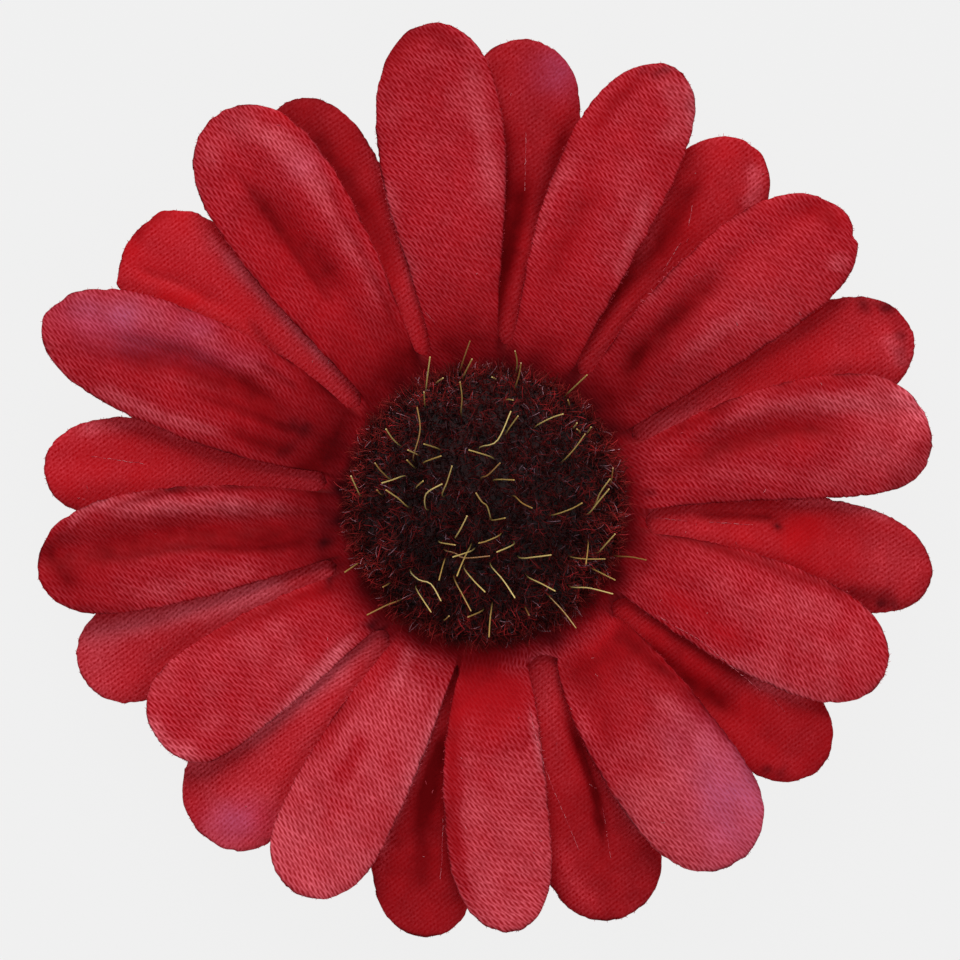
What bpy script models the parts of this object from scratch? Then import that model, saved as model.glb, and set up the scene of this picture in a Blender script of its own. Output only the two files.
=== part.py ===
# Artificial gerbera flower head, lying face up: two die-cut satin whorls of twelve petals each, a
# pile centre with stiff strands in it, and the pin and calyx that pinch the whorls between them.
# Lengths are written in millimetres and become metres when a mesh is made. +Z is up, out of the
# flower's face, and the origin is the middle of the calyx's flat bottom.
import math
import random
from collections import namedtuple

import bpy

MM = 0.001
SEED = 7

# The stack along the flower's axis
CLEARANCE = 0.35
CALYX_HEIGHT = 7.0
CLOTH = 0.64
PIN_HEAD_HEIGHT = 1.0
LOWER_WEB = CALYX_HEIGHT + CLEARANCE + CLOTH / 2
UPPER_WEB = LOWER_WEB + CLOTH + CLEARANCE
PILE_BOTTOM = UPPER_WEB + CLOTH / 2 + CLEARANCE
PIN_HEAD_TOP = PILE_BOTTOM + PIN_HEAD_HEIGHT

# The whorls: a flat web round the axis, cut outwards into petals
PETALS = 12
PITCH = 360.0 / PETALS
WEB_HOLE = 2.6
WEB_FLAT = 16.4
SLIT_END = 17.2
ROOT = 18.2
ROOT_WIDTH = 6.4
MIDDLE = 32.0
HOLE_STEPS = 2
ACROSS = 6
ALONG = 9
TIP_SPAN = 0.75
FADE = 11.0
UPPER_FIRST = 97.5
LOWER_FIRST = UPPER_FIRST - PITCH / 2

# Height of each whorl above its own web, at distances from the axis
UPPER_PROFILE = [(16.0, 0.0), (19.0, 0.5), (26.0, 1.9), (34.0, 2.8), (42.0, 3.3), (54.0, 3.6)]
LOWER_PROFILE = [(16.0, 0.0), (19.0, 0.15), (26.0, 0.9), (34.0, 1.3), (42.0, 1.4), (54.0, 1.3)]

# A petal's outline is its reach from the axis, how far its middle line stands aside at the root,
# halfway and at the tip (to the left, seen from the axis), its width, where it is widest, how
# slowly its neck widens and how blunt its tip is. Its form is the lift of the tip, the cup of the
# edges (up is positive), the roll to one side, and a pressed groove with its place across.
Petal = namedtuple("Petal", "reach base mid tip width widest neck blunt lift cup roll groove at")

# Both lists start at the top of the flower and go clockwise
UPPER_PETALS = [
    Petal(53.05, 0.0, -0.15, -0.75, 13.85, 40, 1.4, 2.5, 0.2, -1.0, 0.1, 0.0, 0.0),
    Petal(52.1, 0.5, 1.05, -0.3, 12.3, 39, 1.2, 2.6, -0.2, -0.8, -0.2, 0.45, 0.3),
    Petal(50.6, 0.7, 1.7, 1.05, 13.5, 40, 1.0, 2.5, 0.3, -0.8, 0.2, 0.65, 0.4),
    Petal(49.3, 0.9, 2.55, 1.35, 13.4, 40, 1.1, 2.6, 0.0, -0.6, 0.4, 0.6, 0.35),
    Petal(47.4, 0.3, 0.25, -0.3, 12.8, 36, 0.9, 2.6, -0.3, -0.9, 0.2, 0.0, 0.0),
    Petal(47.7, -0.2, -1.3, -1.4, 13.9, 37, 0.7, 2.8, 0.4, -0.8, -0.2, 0.3, 0.0),
    Petal(46.6, -1.6, -3.2, -3.25, 11.3, 34, 0.8, 3.0, 0.5, -1.0, -0.3, 0.25, 0.1),
    Petal(47.2, -0.1, -1.55, -2.45, 11.9, 38, 1.0, 2.6, 0.1, -0.9, -0.2, 0.35, -0.3),
    Petal(44.1, -0.3, -1.4, -1.3, 11.9, 37, 1.0, 2.6, 0.2, -0.7, -0.1, 0.2, 0.2),
    Petal(49.6, -0.1, -0.15, 0.8, 12.8, 38, 1.0, 2.5, 0.4, -0.2, -0.2, 0.85, -0.3),
    Petal(52.45, -0.2, -0.65, -0.55, 13.2, 35, 0.9, 3.0, 0.6, -0.7, 0.3, 0.45, -0.2),
    Petal(51.8, -0.3, -1.55, -2.5, 14.1, 41, 1.1, 2.5, 0.0, -0.6, -0.2, 0.6, 0.05),
]
LOWER_PETALS = [
    Petal(51.3, 0.3, 1.4, 1.9, 13.4, 40, 1.1, 2.8, 0.3, -0.8, 0.0, 0.0, 0.0),
    Petal(49.2, 0.0, 0.65, 0.85, 12.7, 37, 1.0, 2.6, 0.0, -0.7, 0.2, 0.3, -0.2),
    Petal(50.6, 0.0, 0.4, 0.0, 12.6, 39, 1.1, 2.8, -0.2, -0.6, 0.1, 0.4, 0.2),
    Petal(49.55, 0.0, 0.0, -1.4, 11.6, 37, 1.0, 3.1, 0.2, -0.7, -0.1, 0.3, 0.3),
    Petal(46.8, 0.0, 0.25, -0.05, 12.0, 36, 1.0, 2.8, -0.1, -0.6, 0.2, 0.4, -0.3),
    Petal(47.65, -0.8, -2.3, -3.15, 13.5, 36, 1.0, 3.2, -0.3, -0.7, -0.2, 0.3, 0.2),
    Petal(48.0, -0.3, -1.35, -0.95, 12.2, 37, 1.0, 2.6, 0.0, -0.8, 0.0, 0.3, 0.0),
    Petal(47.75, -0.3, -2.2, -2.0, 13.6, 38, 1.1, 2.9, 0.1, -0.7, 0.1, 0.0, 0.0),
    Petal(48.25, 0.0, 0.0, -0.05, 11.6, 38, 1.0, 3.2, -0.2, -0.8, 0.0, 0.2, 0.2),
    Petal(48.7, 0.0, 0.8, 1.85, 11.4, 37, 1.0, 3.0, 0.2, -0.7, -0.2, 0.3, -0.1),
    Petal(48.8, 0.0, -0.2, 0.25, 13.0, 39, 1.1, 3.7, 0.1, -0.6, 0.2, 0.4, 0.1),
    Petal(49.3, 0.0, 1.65, 3.0, 11.7, 39, 1.0, 2.6, 0.0, -0.9, 0.0, 0.0, 0.0),
]
GROOVE_SPREAD = 0.3

# The centre: a low dome of pile with longer stiff strands standing out of it
PILE_RADIUS = 14.5
PILE_RISE = 7.4
PILE_SKIRT = 0.9
PILE_BEND = math.radians(80)
PILE_RINGS = 8
PILE_JITTER = 0.12
TUFT_INSET = 0.3
TUFT_LENGTH = (1.3, 2.1)
TUFT_LEAN = 0.3
STRANDS = 64
STRAND_INSET = 0.78
STRAND_LENGTH = (4.2, 6.4)
STRAND_KINK = 0.48
STRAND_LEAN = 0.9
POCKET_GAP = 0.35

# The pin: a head under the pile, and a shank through both webs into the calyx
PIN_HEAD_RADIUS = 10.0
PIN_SHANK_RADIUS = 2.0
PIN_CHAMFER = 0.3
PIN_STEPS = 32

# The calyx: a cup with a flat bottom, ringed at the top by pointed sepals
SEPALS = 16
SEPAL_STEPS = 4
SEPAL_REACH = 15.6
SEPAL_NOTCH = 11.6
SEPAL_THICK = 0.8
CUP_FLUTE = 0.25
FOOT_RADIUS = 7.0
SOCKET_RADIUS = PIN_SHANK_RADIUS + 0.3
SOCKET_FLOOR = 2.2
# Radius and height down the outside of the cup, below the sepals
CUP_WALL = [(10.6, 5.6), (9.9, 4.0), (8.6, 2.3), (7.6, 0.8)]

UPPER_RED = (0.42, 0.018, 0.032, 1.0)
LOWER_RED = (0.27, 0.008, 0.016, 1.0)
PILE_MAROON = (0.022, 0.002, 0.005, 1.0)
PIN_BLACK = (0.012, 0.010, 0.010, 1.0)
CALYX_GREEN = (0.055, 0.130, 0.030, 1.0)


def ease(x, start, length):
    t = min(max((x - start) / length, 0.0), 1.0)
    return t * t * (3.0 - 2.0 * t)


def height_at(profile, x):
    """Height on a smooth curve through the profile's points."""
    if x <= profile[0][0]:
        return profile[0][1]
    slopes = [0.0]
    for (x0, y0), (x1, y1) in zip(profile, profile[2:]):
        slopes.append((y1 - y0) / (x1 - x0))
    (x0, y0), (x1, y1) = profile[-2:]
    slopes.append((y1 - y0) / (x1 - x0))
    step = 0
    while step < len(profile) - 2 and x > profile[step + 1][0]:
        step += 1
    (x0, y0), (x1, y1) = profile[step], profile[step + 1]
    span = x1 - x0
    t = (x - x0) / span
    start = (1 + 2 * t) * (1 - t) ** 2 * y0 + t * (1 - t) ** 2 * span * slopes[step]
    end = t * t * (3 - 2 * t) * y1 + t * t * (t - 1) * span * slopes[step + 1]
    return start + end


def side_shift(petal, s):
    """How far the petal's middle line stands aside, on a parabola through its three places."""
    a, b, c = ROOT, MIDDLE, petal.reach
    root = petal.base * (s - b) * (s - c) / ((a - b) * (a - c))
    middle = petal.mid * (s - a) * (s - c) / ((b - a) * (b - c))
    return root + middle + petal.tip * (s - a) * (s - b) / ((c - a) * (c - b))


def half_width(petal, s):
    if s <= petal.widest:
        t = max(s - ROOT, 0.0) / (petal.widest - ROOT)
        return (ROOT_WIDTH + (petal.width - ROOT_WIDTH) * math.sin(math.pi / 2 * t**petal.neck)) / 2
    t = min((s - petal.widest) / (petal.reach - petal.widest), 1.0)
    return petal.width / 2 * math.sqrt(1.0 - t**petal.blunt)


def petal_form(petal, profile, s, across):
    """Height of the petal at s from the axis and at across, from -1 to 1 between its edges."""
    out = (s - ROOT) / (petal.reach - ROOT)
    form = petal.cup * (across * across - 1 / 3) + petal.roll * across
    form -= petal.groove * math.exp(-(((across - petal.at) / GROOVE_SPREAD) ** 2))
    return height_at(profile, s) + petal.lift * out * out + form * ease(s, ROOT - 1.0, FADE)


def petal_point(petal, profile, angle, row, column):
    """Rows are straight at the root and bow outwards until the last one is the rounded tip."""
    across = 2.0 * column / ACROSS - 1.0
    corner = (1.0 - TIP_SPAN**2) ** (1 / petal.blunt)
    bow = ((1.0 - (TIP_SPAN * across) ** 2) ** (1 / petal.blunt) - corner) / (1.0 - corner)
    edge_end = petal.widest + (petal.reach - petal.widest) * corner
    edge = ROOT + (edge_end - ROOT) * row / ALONG
    middle = ROOT + (petal.reach - ROOT) * row / ALONG
    s = edge + (middle - edge) * bow
    y = half_width(petal, edge) * across + side_shift(petal, s)
    z = petal_form(petal, profile, s, across)
    return (
        s * math.cos(angle) - y * math.sin(angle),
        s * math.sin(angle) + y * math.cos(angle),
        z,
    )


def ring_point(radius, angle, z):
    return (radius * math.cos(angle), radius * math.sin(angle), z)


def split(a, b, c, d, other_way):
    """Two triangles of a four-sided patch."""
    if other_way:
        return [(a, b, d), (b, c, d)]
    return [(a, b, c), (a, c, d)]


def whorl_surface(petals, profile):
    """The middle surface of a whorl, as points and faces, with its first petal along +X."""
    points, faces, strips = [], [], []
    hole, flat = [], []
    columns = ACROSS + 2
    for n in range(PETALS * HOLE_STEPS):
        hole.append(len(points))
        points.append(ring_point(WEB_HOLE, -2 * math.pi * n / (PETALS * HOLE_STEPS), 0.0))
    for n in range(PETALS * columns):
        angle = math.radians(-PITCH * (n - ACROSS / 2) / columns)
        flat.append(len(points))
        points.append(ring_point(WEB_FLAT, angle, 0.0))
    for number, petal in enumerate(petals):
        angle = math.radians(-PITCH * number)
        rows = []
        for row in range(ALONG + 1):
            rows.append([])
            for column in range(ACROSS, -1, -1):
                rows[-1].append(len(points))
                points.append(petal_point(petal, profile, angle, row, column))
        slit = len(points)
        points.append(
            ring_point(SLIT_END, angle - math.radians(PITCH) / 2, height_at(profile, SLIT_END))
        )
        strips.append((rows, slit))

    def ring(ids, n):
        return ids[n % len(ids)]

    for number, (rows, slit) in enumerate(strips):
        next_root = strips[(number + 1) % PETALS][0][0][0]
        root = rows[0] + [slit, next_root]
        first = number * columns
        for column in range(columns):
            inner, inner_next = ring(flat, first + column), ring(flat, first + column + 1)
            other_way = column >= columns // 2
            faces += split(inner, inner_next, root[column + 1], root[column], other_way)
        for row in range(ALONG):
            for column in range(ACROSS):
                near, far = rows[row], rows[row + 1]
                faces += split(
                    near[column],
                    near[column + 1],
                    far[column + 1],
                    far[column],
                    column >= ACROSS // 2,
                )
        inside = [ring(hole, number * HOLE_STEPS + n) for n in range(HOLE_STEPS + 1)]
        faces.append(inside + [ring(flat, first + n) for n in range(columns, -1, -1)])
    return points, faces


def thicken(points, faces, thickness):
    """A closed solid from a middle surface, with the same faces on both sides."""
    count = len(points)
    half = thickness / 2
    both = [(x, y, z + half) for x, y, z in points] + [(x, y, z - half) for x, y, z in points]
    used = {}
    for face in faces:
        for a, b in zip(face, list(face[1:]) + [face[0]]):
            used[(a, b)] = True
    sides = [(b, a, a + count, b + count) for a, b in used if (b, a) not in used]
    under = [tuple(n + count for n in reversed(face)) for face in faces]
    return both, [tuple(face) for face in faces] + under + sides


def pile_lattice(draw):
    """Points of the dome in rings of six, twelve, eighteen and so on, and its triangles."""
    points, rings, faces = [(0.0, 0.0, PILE_BOTTOM + PILE_SKIRT + PILE_RISE)], [[0]], []
    for number in range(1, PILE_RINGS + 1):
        ids = []
        for n in range(6 * number):
            jitter = PILE_JITTER if number < PILE_RINGS else 0.0
            bend = PILE_BEND * (number + draw.uniform(-jitter, jitter)) / PILE_RINGS
            angle = 2 * math.pi * (n + draw.uniform(-jitter, jitter)) / (6 * number)
            radius = PILE_RADIUS * math.sin(bend) / math.sin(PILE_BEND)
            fall = (math.cos(bend) - math.cos(PILE_BEND)) / (1.0 - math.cos(PILE_BEND))
            ids.append(len(points))
            points.append(ring_point(radius, angle, PILE_BOTTOM + PILE_SKIRT + PILE_RISE * fall))
        rings.append(ids)
    for number in range(1, PILE_RINGS + 1):
        outer, inner = rings[number], rings[number - 1]
        for side in range(6):
            for n in range(number):
                o, i = side * number + n, side * (number - 1) + n
                o_next, here = outer[(o + 1) % len(outer)], inner[i % len(inner)]
                faces.append((outer[o], o_next, here))
                if n < number - 1:
                    faces.append((here, o_next, inner[(i + 1) % len(inner)]))
    return points, rings[-1], faces


def mix(a, b, t):
    return tuple(p + (q - p) * t for p, q in zip(a, b))


def moved(a, direction, length):
    return tuple(p + q * length for p, q in zip(a, direction))


def unit(a):
    size = math.sqrt(sum(p * p for p in a))
    return tuple(p / size for p in a)


def outward(a, b, c):
    u = [q - p for p, q in zip(a, b)]
    v = [q - p for p, q in zip(a, c)]
    return unit((u[1] * v[2] - u[2] * v[1], u[2] * v[0] - u[0] * v[2], u[0] * v[1] - u[1] * v[0]))


def leaning(normal, draw, lean):
    return unit(tuple(p + draw.uniform(-lean, lean) for p in normal))


def pile_solid():
    """The dome with a tuft on each triangle, or a kinked strand on some, and a pocket below."""
    draw = random.Random(SEED)
    points, rim, lattice = pile_lattice(draw)
    with_strand = set(draw.sample(range(len(lattice)), STRANDS))
    faces = []

    def ring_of(corners, centre, inset, lift):
        ids = []
        for corner in corners:
            ids.append(len(points))
            points.append(moved(mix(points[corner], centre, inset), lift, 1.0))
        return ids

    def skirt(lower, upper):
        for n in range(3):
            m = (n + 1) % 3
            faces.append((lower[n], lower[m], upper[m], upper[n]))

    for number, corners in enumerate(lattice):
        a, b, c = (points[n] for n in corners)
        centre = tuple(sum(p) / 3 for p in zip(a, b, c))
        normal = outward(a, b, c)
        if number in with_strand:
            length = draw.uniform(*STRAND_LENGTH)
            foot = ring_of(corners, centre, STRAND_INSET, (0.0, 0.0, 0.0))
            stem = tuple(p * length * STRAND_KINK for p in leaning(normal, draw, TUFT_LEAN / 2))
            kink = ring_of(corners, centre, STRAND_INSET, stem)
            tip = moved(moved(centre, stem, 1.0), leaning(normal, draw, STRAND_LEAN),
                        length * (1.0 - STRAND_KINK))
            skirt(list(corners), foot)
            skirt(foot, kink)
            top = kink
        else:
            length = draw.uniform(*TUFT_LENGTH)
            tip = moved(centre, leaning(normal, draw, TUFT_LEAN), length)
            top = ring_of(corners, centre, TUFT_INSET, (0.0, 0.0, 0.0))
            skirt(list(corners), top)
        points.append(tip)
        for n in range(3):
            faces.append((top[n], top[(n + 1) % 3], len(points) - 1))

    pocket = PIN_HEAD_RADIUS + POCKET_GAP
    pocket_top = PIN_HEAD_TOP + POCKET_GAP
    rings = [rim]
    for radius, z in [(PILE_RADIUS, PILE_BOTTOM), (pocket, PILE_BOTTOM), (pocket, pocket_top)]:
        ids = []
        for n in range(len(rim)):
            ids.append(len(points))
            points.append(ring_point(radius, 2 * math.pi * n / len(rim), z))
        rings.append(ids)
    for upper, lower in zip(rings, rings[1:]):
        for n in range(len(rim)):
            m = (n + 1) % len(rim)
            faces.append((upper[m], upper[n], lower[n], lower[m]))
    faces.append(tuple(reversed(rings[-1])))
    return points, faces


def turned_solid(profile, steps, radius_at):
    """A solid from (radius, height) points round the axis, listed from the middle of its bottom,
    out and up over its outside, to the middle of its top."""
    points, rings, faces = [], [], []
    for level, (radius, z) in enumerate(profile):
        ids = []
        for n in range(steps if radius else 1):
            ids.append(len(points))
            points.append(ring_point(radius_at(level, n, radius), 2 * math.pi * n / steps, z))
        rings.append(ids)
    for lower, upper in zip(rings, rings[1:]):
        for n in range(steps):
            m = (n + 1) % steps
            if len(lower) == 1:
                faces.append((lower[0], upper[m], upper[n]))
            elif len(upper) == 1:
                faces.append((lower[n], lower[m], upper[0]))
            else:
                faces.append((lower[n], lower[m], upper[m], upper[n]))
    return points, faces


def pin_solid():
    head, shank, cut = PIN_HEAD_RADIUS, PIN_SHANK_RADIUS, PIN_CHAMFER
    foot = SOCKET_FLOOR + CLEARANCE
    profile = [
        (0.0, foot),
        (shank - cut, foot),
        (shank, foot + cut),
        (shank, PILE_BOTTOM),
        (head - cut, PILE_BOTTOM),
        (head, PILE_BOTTOM + cut),
        (head, PIN_HEAD_TOP - cut),
        (head - cut, PIN_HEAD_TOP),
        (0.0, PIN_HEAD_TOP),
    ]
    return turned_solid(profile, PIN_STEPS, lambda level, n, radius: radius)


def calyx_solid():
    under = CALYX_HEIGHT - SEPAL_THICK
    profile = [(0.0, 0.0), (FOOT_RADIUS, 0.0)] + CUP_WALL[::-1]
    wall = range(2, len(profile))
    outline = range(len(profile), len(profile) + 2)
    profile += [
        (SEPAL_NOTCH, under),
        (SEPAL_NOTCH, CALYX_HEIGHT),
        (SOCKET_RADIUS, CALYX_HEIGHT),
        (SOCKET_RADIUS, SOCKET_FLOOR),
        (0.0, SOCKET_FLOOR),
    ]

    def radius_at(level, n, radius):
        turn = 2 * math.pi * n / SEPAL_STEPS
        if level in wall:
            return radius + CUP_FLUTE * math.cos(turn)
        if level in outline:
            return radius + (SEPAL_REACH - SEPAL_NOTCH) * (0.5 + 0.5 * math.cos(turn)) ** 0.8
        return radius

    return turned_solid(profile, SEPALS * SEPAL_STEPS, radius_at)


def material(name, colour, roughness):
    made = bpy.data.materials.new(name)
    made.use_nodes = True
    shader = made.node_tree.nodes["Principled BSDF"]
    shader.inputs["Base Color"].default_value = colour
    shader.inputs["Roughness"].default_value = roughness
    made.diffuse_color = colour
    return made


def node(name, solid, finish, parent, height=0.0, turn=0.0):
    points, faces = solid
    mesh = bpy.data.meshes.new(name)
    mesh.from_pydata([tuple(p * MM for p in point) for point in points], [], faces)
    mesh.materials.append(finish)
    mesh.validate()
    made = bpy.data.objects.new(name, mesh)
    bpy.context.collection.objects.link(made)
    made.parent = parent
    made.location.z = height * MM
    made.rotation_euler.z = math.radians(turn)
    return made


def main():
    for old in list(bpy.data.objects):
        bpy.data.objects.remove(old)
    head = bpy.data.objects.new("gerbera_head", None)
    bpy.context.collection.objects.link(head)

    upper = thicken(*whorl_surface(UPPER_PETALS, UPPER_PROFILE), CLOTH)
    lower = thicken(*whorl_surface(LOWER_PETALS, LOWER_PROFILE), CLOTH)
    satin_upper = material("upper_satin", UPPER_RED, 0.6)
    satin_lower = material("lower_satin", LOWER_RED, 0.7)
    node("petal_layer_upper", upper, satin_upper, head, UPPER_WEB, UPPER_FIRST)
    node("petal_layer_lower", lower, satin_lower, head, LOWER_WEB, LOWER_FIRST)
    node("pile_centre", pile_solid(), material("pile", PILE_MAROON, 0.9), head)
    node("centre_pin", pin_solid(), material("pin_plastic", PIN_BLACK, 0.5), head)
    node("calyx", calyx_solid(), material("calyx_plastic", CALYX_GREEN, 0.55), head)


main()
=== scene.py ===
import math

import bpy
import numpy as np
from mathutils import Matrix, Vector, noise


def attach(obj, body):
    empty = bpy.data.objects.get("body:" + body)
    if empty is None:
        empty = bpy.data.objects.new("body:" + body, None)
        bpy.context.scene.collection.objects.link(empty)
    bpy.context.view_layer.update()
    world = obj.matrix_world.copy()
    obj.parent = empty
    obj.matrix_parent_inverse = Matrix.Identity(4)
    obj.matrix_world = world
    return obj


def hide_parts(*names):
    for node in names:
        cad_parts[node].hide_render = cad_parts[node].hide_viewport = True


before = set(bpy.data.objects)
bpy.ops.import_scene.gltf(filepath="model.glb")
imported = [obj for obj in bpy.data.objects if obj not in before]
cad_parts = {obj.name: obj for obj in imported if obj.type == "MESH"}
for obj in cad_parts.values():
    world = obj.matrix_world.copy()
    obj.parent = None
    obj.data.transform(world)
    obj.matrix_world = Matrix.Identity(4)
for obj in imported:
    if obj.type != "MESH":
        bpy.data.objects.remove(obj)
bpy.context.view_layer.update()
mm = 0.001
pixel = 0.1097  # millimetres in one pixel of the 960 by 960 photograph
pictureMiddle = 480
axisAt = (486, 505)  # the pixel that the flower's axis stands on


# Helpers for objects and node trees

def newObject(name, data):
    made = bpy.data.objects.new(name, data)
    bpy.context.collection.objects.link(made)
    return made


def newMesh(name, points, faces, edges=()):
    mesh = bpy.data.meshes.new(name)
    mesh.from_pydata((np.array(points, dtype=float) * mm).tolist(), edges, faces)
    return mesh


def storeValues(mesh, name, values):
    mesh.attributes.new(name, "FLOAT", "POINT").data.foreach_set("value", values.astype(np.float32))


def setInput(tree, socket, value):
    if isinstance(value, bpy.types.NodeSocket):
        tree.links.new(value, socket)
    else:
        socket.default_value = value


def addNode(tree, kind, inputs=None, **settings):
    node = tree.nodes.new(kind)
    for name, value in settings.items():
        setattr(node, name, value)
    for key, value in (inputs or {}).items():
        setInput(tree, node.inputs[key], value)
    return node


def calc(tree, operation, *values):
    return addNode(tree, "ShaderNodeMath", dict(enumerate(values)), operation=operation).outputs[0]


def calcVector(tree, operation, *values):
    return addNode(tree, "ShaderNodeVectorMath", dict(enumerate(values)), operation=operation).outputs


def joined(tree, x, y):
    return addNode(tree, "ShaderNodeCombineXYZ", {0: x, 1: y}).outputs[0]


def parted(tree, vector):
    return addNode(tree, "ShaderNodeSeparateXYZ", {0: vector}).outputs


def clamped(tree, value):
    return addNode(tree, "ShaderNodeClamp", {0: value}).outputs[0]


def attribute(tree, name):
    return addNode(tree, "ShaderNodeAttribute", attribute_name=name).outputs["Fac"]


def objectPlace(tree):
    return addNode(tree, "ShaderNodeTexCoord").outputs["Object"]


def cloudy(tree, where, scale, detail=2.0, rough=0.5):
    return addNode(tree, "ShaderNodeTexNoise", {
        "Vector": where, "Scale": scale, "Detail": detail, "Roughness": rough}).outputs


def bumpNode(tree, height, strength):
    return addNode(tree, "ShaderNodeBump", {
        "Height": height, "Strength": strength, "Distance": 0.1 * mm}).outputs[0]


def mixColour(tree, factor, first, second, blend="MIX"):
    node = addNode(tree, "ShaderNodeMix", {0: factor}, data_type="RGBA", blend_type=blend)
    for number, value in ((6, first), (7, second)):
        setInput(tree, node.inputs[number], (*value, 1.0) if isinstance(value, tuple) else value)
    return node.outputs[2]


def rampNode(tree, factor, stops):
    # each stop is a place and a colour, or a place and one number for a grey
    node = addNode(tree, "ShaderNodeValToRGB", {"Fac": factor})
    while len(node.color_ramp.elements) < len(stops):
        node.color_ramp.elements.new(0.5)
    for element, (place, colour) in zip(node.color_ramp.elements, stops):
        element.position = place
        element.color = (*(colour if isinstance(colour, tuple) else (colour,) * 3), 1.0)
    return node.outputs["Color"]


def newGroup(name, kind, inputs, outputs):
    tree = bpy.data.node_groups.new(name, kind)
    for way, sockets in (("INPUT", inputs), ("OUTPUT", outputs)):
        for label, holds in sockets.items():
            tree.interface.new_socket(label, in_out=way, socket_type="NodeSocket" + holds)
    return tree, tree.nodes.new("NodeGroupInput").outputs, tree.nodes.new("NodeGroupOutput").inputs


def newMaterial(name, **values):
    material = bpy.data.materials.new(name)
    material.use_nodes = True
    shader = material.node_tree.nodes["Principled BSDF"]
    for label, value in values.items():
        shader.inputs[label.replace("_", " ")].default_value = value
    return material, material.node_tree, shader


def mottledMaterial(name, scale, detail, stops, **values):
    material, tree, shader = newMaterial(name, **values)
    cloud = cloudy(tree, objectPlace(tree), scale, detail)["Fac"]
    tree.links.new(rampNode(tree, cloud, stops), shader.inputs["Base Color"])
    return material, tree, shader


# The satin: threads side by side, each going under at even steps, which shows as a short dark dash; in colour
# the crowns carry painted sheen and the dashes and gaps painted shade

satin = {"wander": (900.0, 0.1), "sway": (70.0, 0.6)}  # noise scale, and reach in millimetres
weaveSizes = ("Pitch", "Repeat", "Step", "Turn", "Dash Turn", "Dash Length", "Dash Width",
              "Ground", "Groove", "Least", "Most", "Stretch")
dyeAndLightColours = ("Gap", "Thread", "Velvet", "Painted Highlight", "Violet", "Dark Dye And Shade", "Char And Shade")
dyeAndLightSettings = {
    "blotch": (330.0, 4.0, 0.65), "uneven": 0.5, "grain": 4500.0, "luck": (0.2, 0.85), "contrast": 2.6,
    "showing": (0.85, 0.15), "violetShowing": (0.6, 0.4), "rough": (-0.2, 0.62),
}


def nudged(tree, where, scale, reach):
    shift = calcVector(tree, "SUBTRACT", cloudy(tree, where, scale)["Color"], (0.5, 0.5, 0.5))[0]
    size = 2 * reach * mm
    return calcVector(tree, "MULTIPLY_ADD", shift, (size, size, 0.0), where)[0]


def turnedBack(tree, where, angle):
    return addNode(tree, "ShaderNodeVectorRotate",
                   {"Vector": where, "Angle": calc(tree, "MULTIPLY", angle, -1.0)},
                   rotation_type="Z_AXIS").outputs[0]


def satinGroup():
    tree, given, out = newGroup(
        "satinWeave", "ShaderNodeTree", {"Cut": "Vector", **dict.fromkeys(weaveSizes, "Float")},
        {"Thread": "Float", "Luck": "Float", "Lie": "Vector"})
    moved = nudged(tree, nudged(tree, given["Cut"], *satin["sway"]), *satin["wander"])
    split = parted(tree, turnedBack(tree, moved, given["Turn"]))
    along = calc(tree, "MULTIPLY", split[0], 1 / mm)
    beside = calc(tree, "DIVIDE", calc(tree, "MULTIPLY", split[1], 1 / mm), given["Pitch"])
    thread = calc(tree, "FLOOR", beside)
    across = calc(tree, "SUBTRACT", beside, thread)
    phase = calc(tree, "SUBTRACT", calc(tree, "DIVIDE", along, given["Repeat"]),
                 calc(tree, "MULTIPLY", thread, given["Step"]))
    number = calc(tree, "FLOOR", phase)
    place = calc(tree, "SUBTRACT", phase, number)
    fromDash = joined(tree, calc(tree, "MULTIPLY", calc(tree, "SUBTRACT", place, 0.5), given["Repeat"]),
                      calc(tree, "MULTIPLY", calc(tree, "SUBTRACT", across, 0.5), given["Pitch"]))
    dashAxes = parted(tree, turnedBack(tree, fromDash, given["Dash Turn"]))
    far = calc(tree, "ADD",
               calc(tree, "POWER", calc(tree, "DIVIDE", dashAxes[0], given["Dash Length"]), 2.0),
               calc(tree, "POWER", calc(tree, "DIVIDE", dashAxes[1], given["Dash Width"]), 2.0))
    luck = addNode(tree, "ShaderNodeTexWhiteNoise", {"Vector": joined(tree, thread, number)},
                   noise_dimensions="3D").outputs["Value"]
    strength = calc(tree, "MULTIPLY_ADD", luck, calc(tree, "SUBTRACT", given["Most"], given["Least"]),
                    given["Least"])
    dash = calc(tree, "MULTIPLY", calc(tree, "EXPONENT", calc(tree, "MULTIPLY", far, -1.0)), strength)
    crown = calc(tree, "POWER", calc(tree, "SINE", calc(tree, "MULTIPLY", across, math.pi)), 2.0)
    worn = calc(tree, "SUBTRACT", given["Ground"], calc(tree, "MULTIPLY", crown, given["Groove"]))
    seen = clamped(tree, calc(tree, "MULTIPLY", worn, calc(tree, "SUBTRACT", 1.0, dash)))
    lie = joined(tree, calc(tree, "MULTIPLY", split[0], given["Stretch"]), split[1])
    for label, value in (("Thread", seen), ("Luck", luck), ("Lie", lie)):
        tree.links.new(value, out[label])
    return tree


# The dye and painted light: dye with painted shade, matt velvet red where the painted sheen is low, paler and
# silky with painted highlight where it is high, a violet tint, and scorch with painted shade

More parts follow.
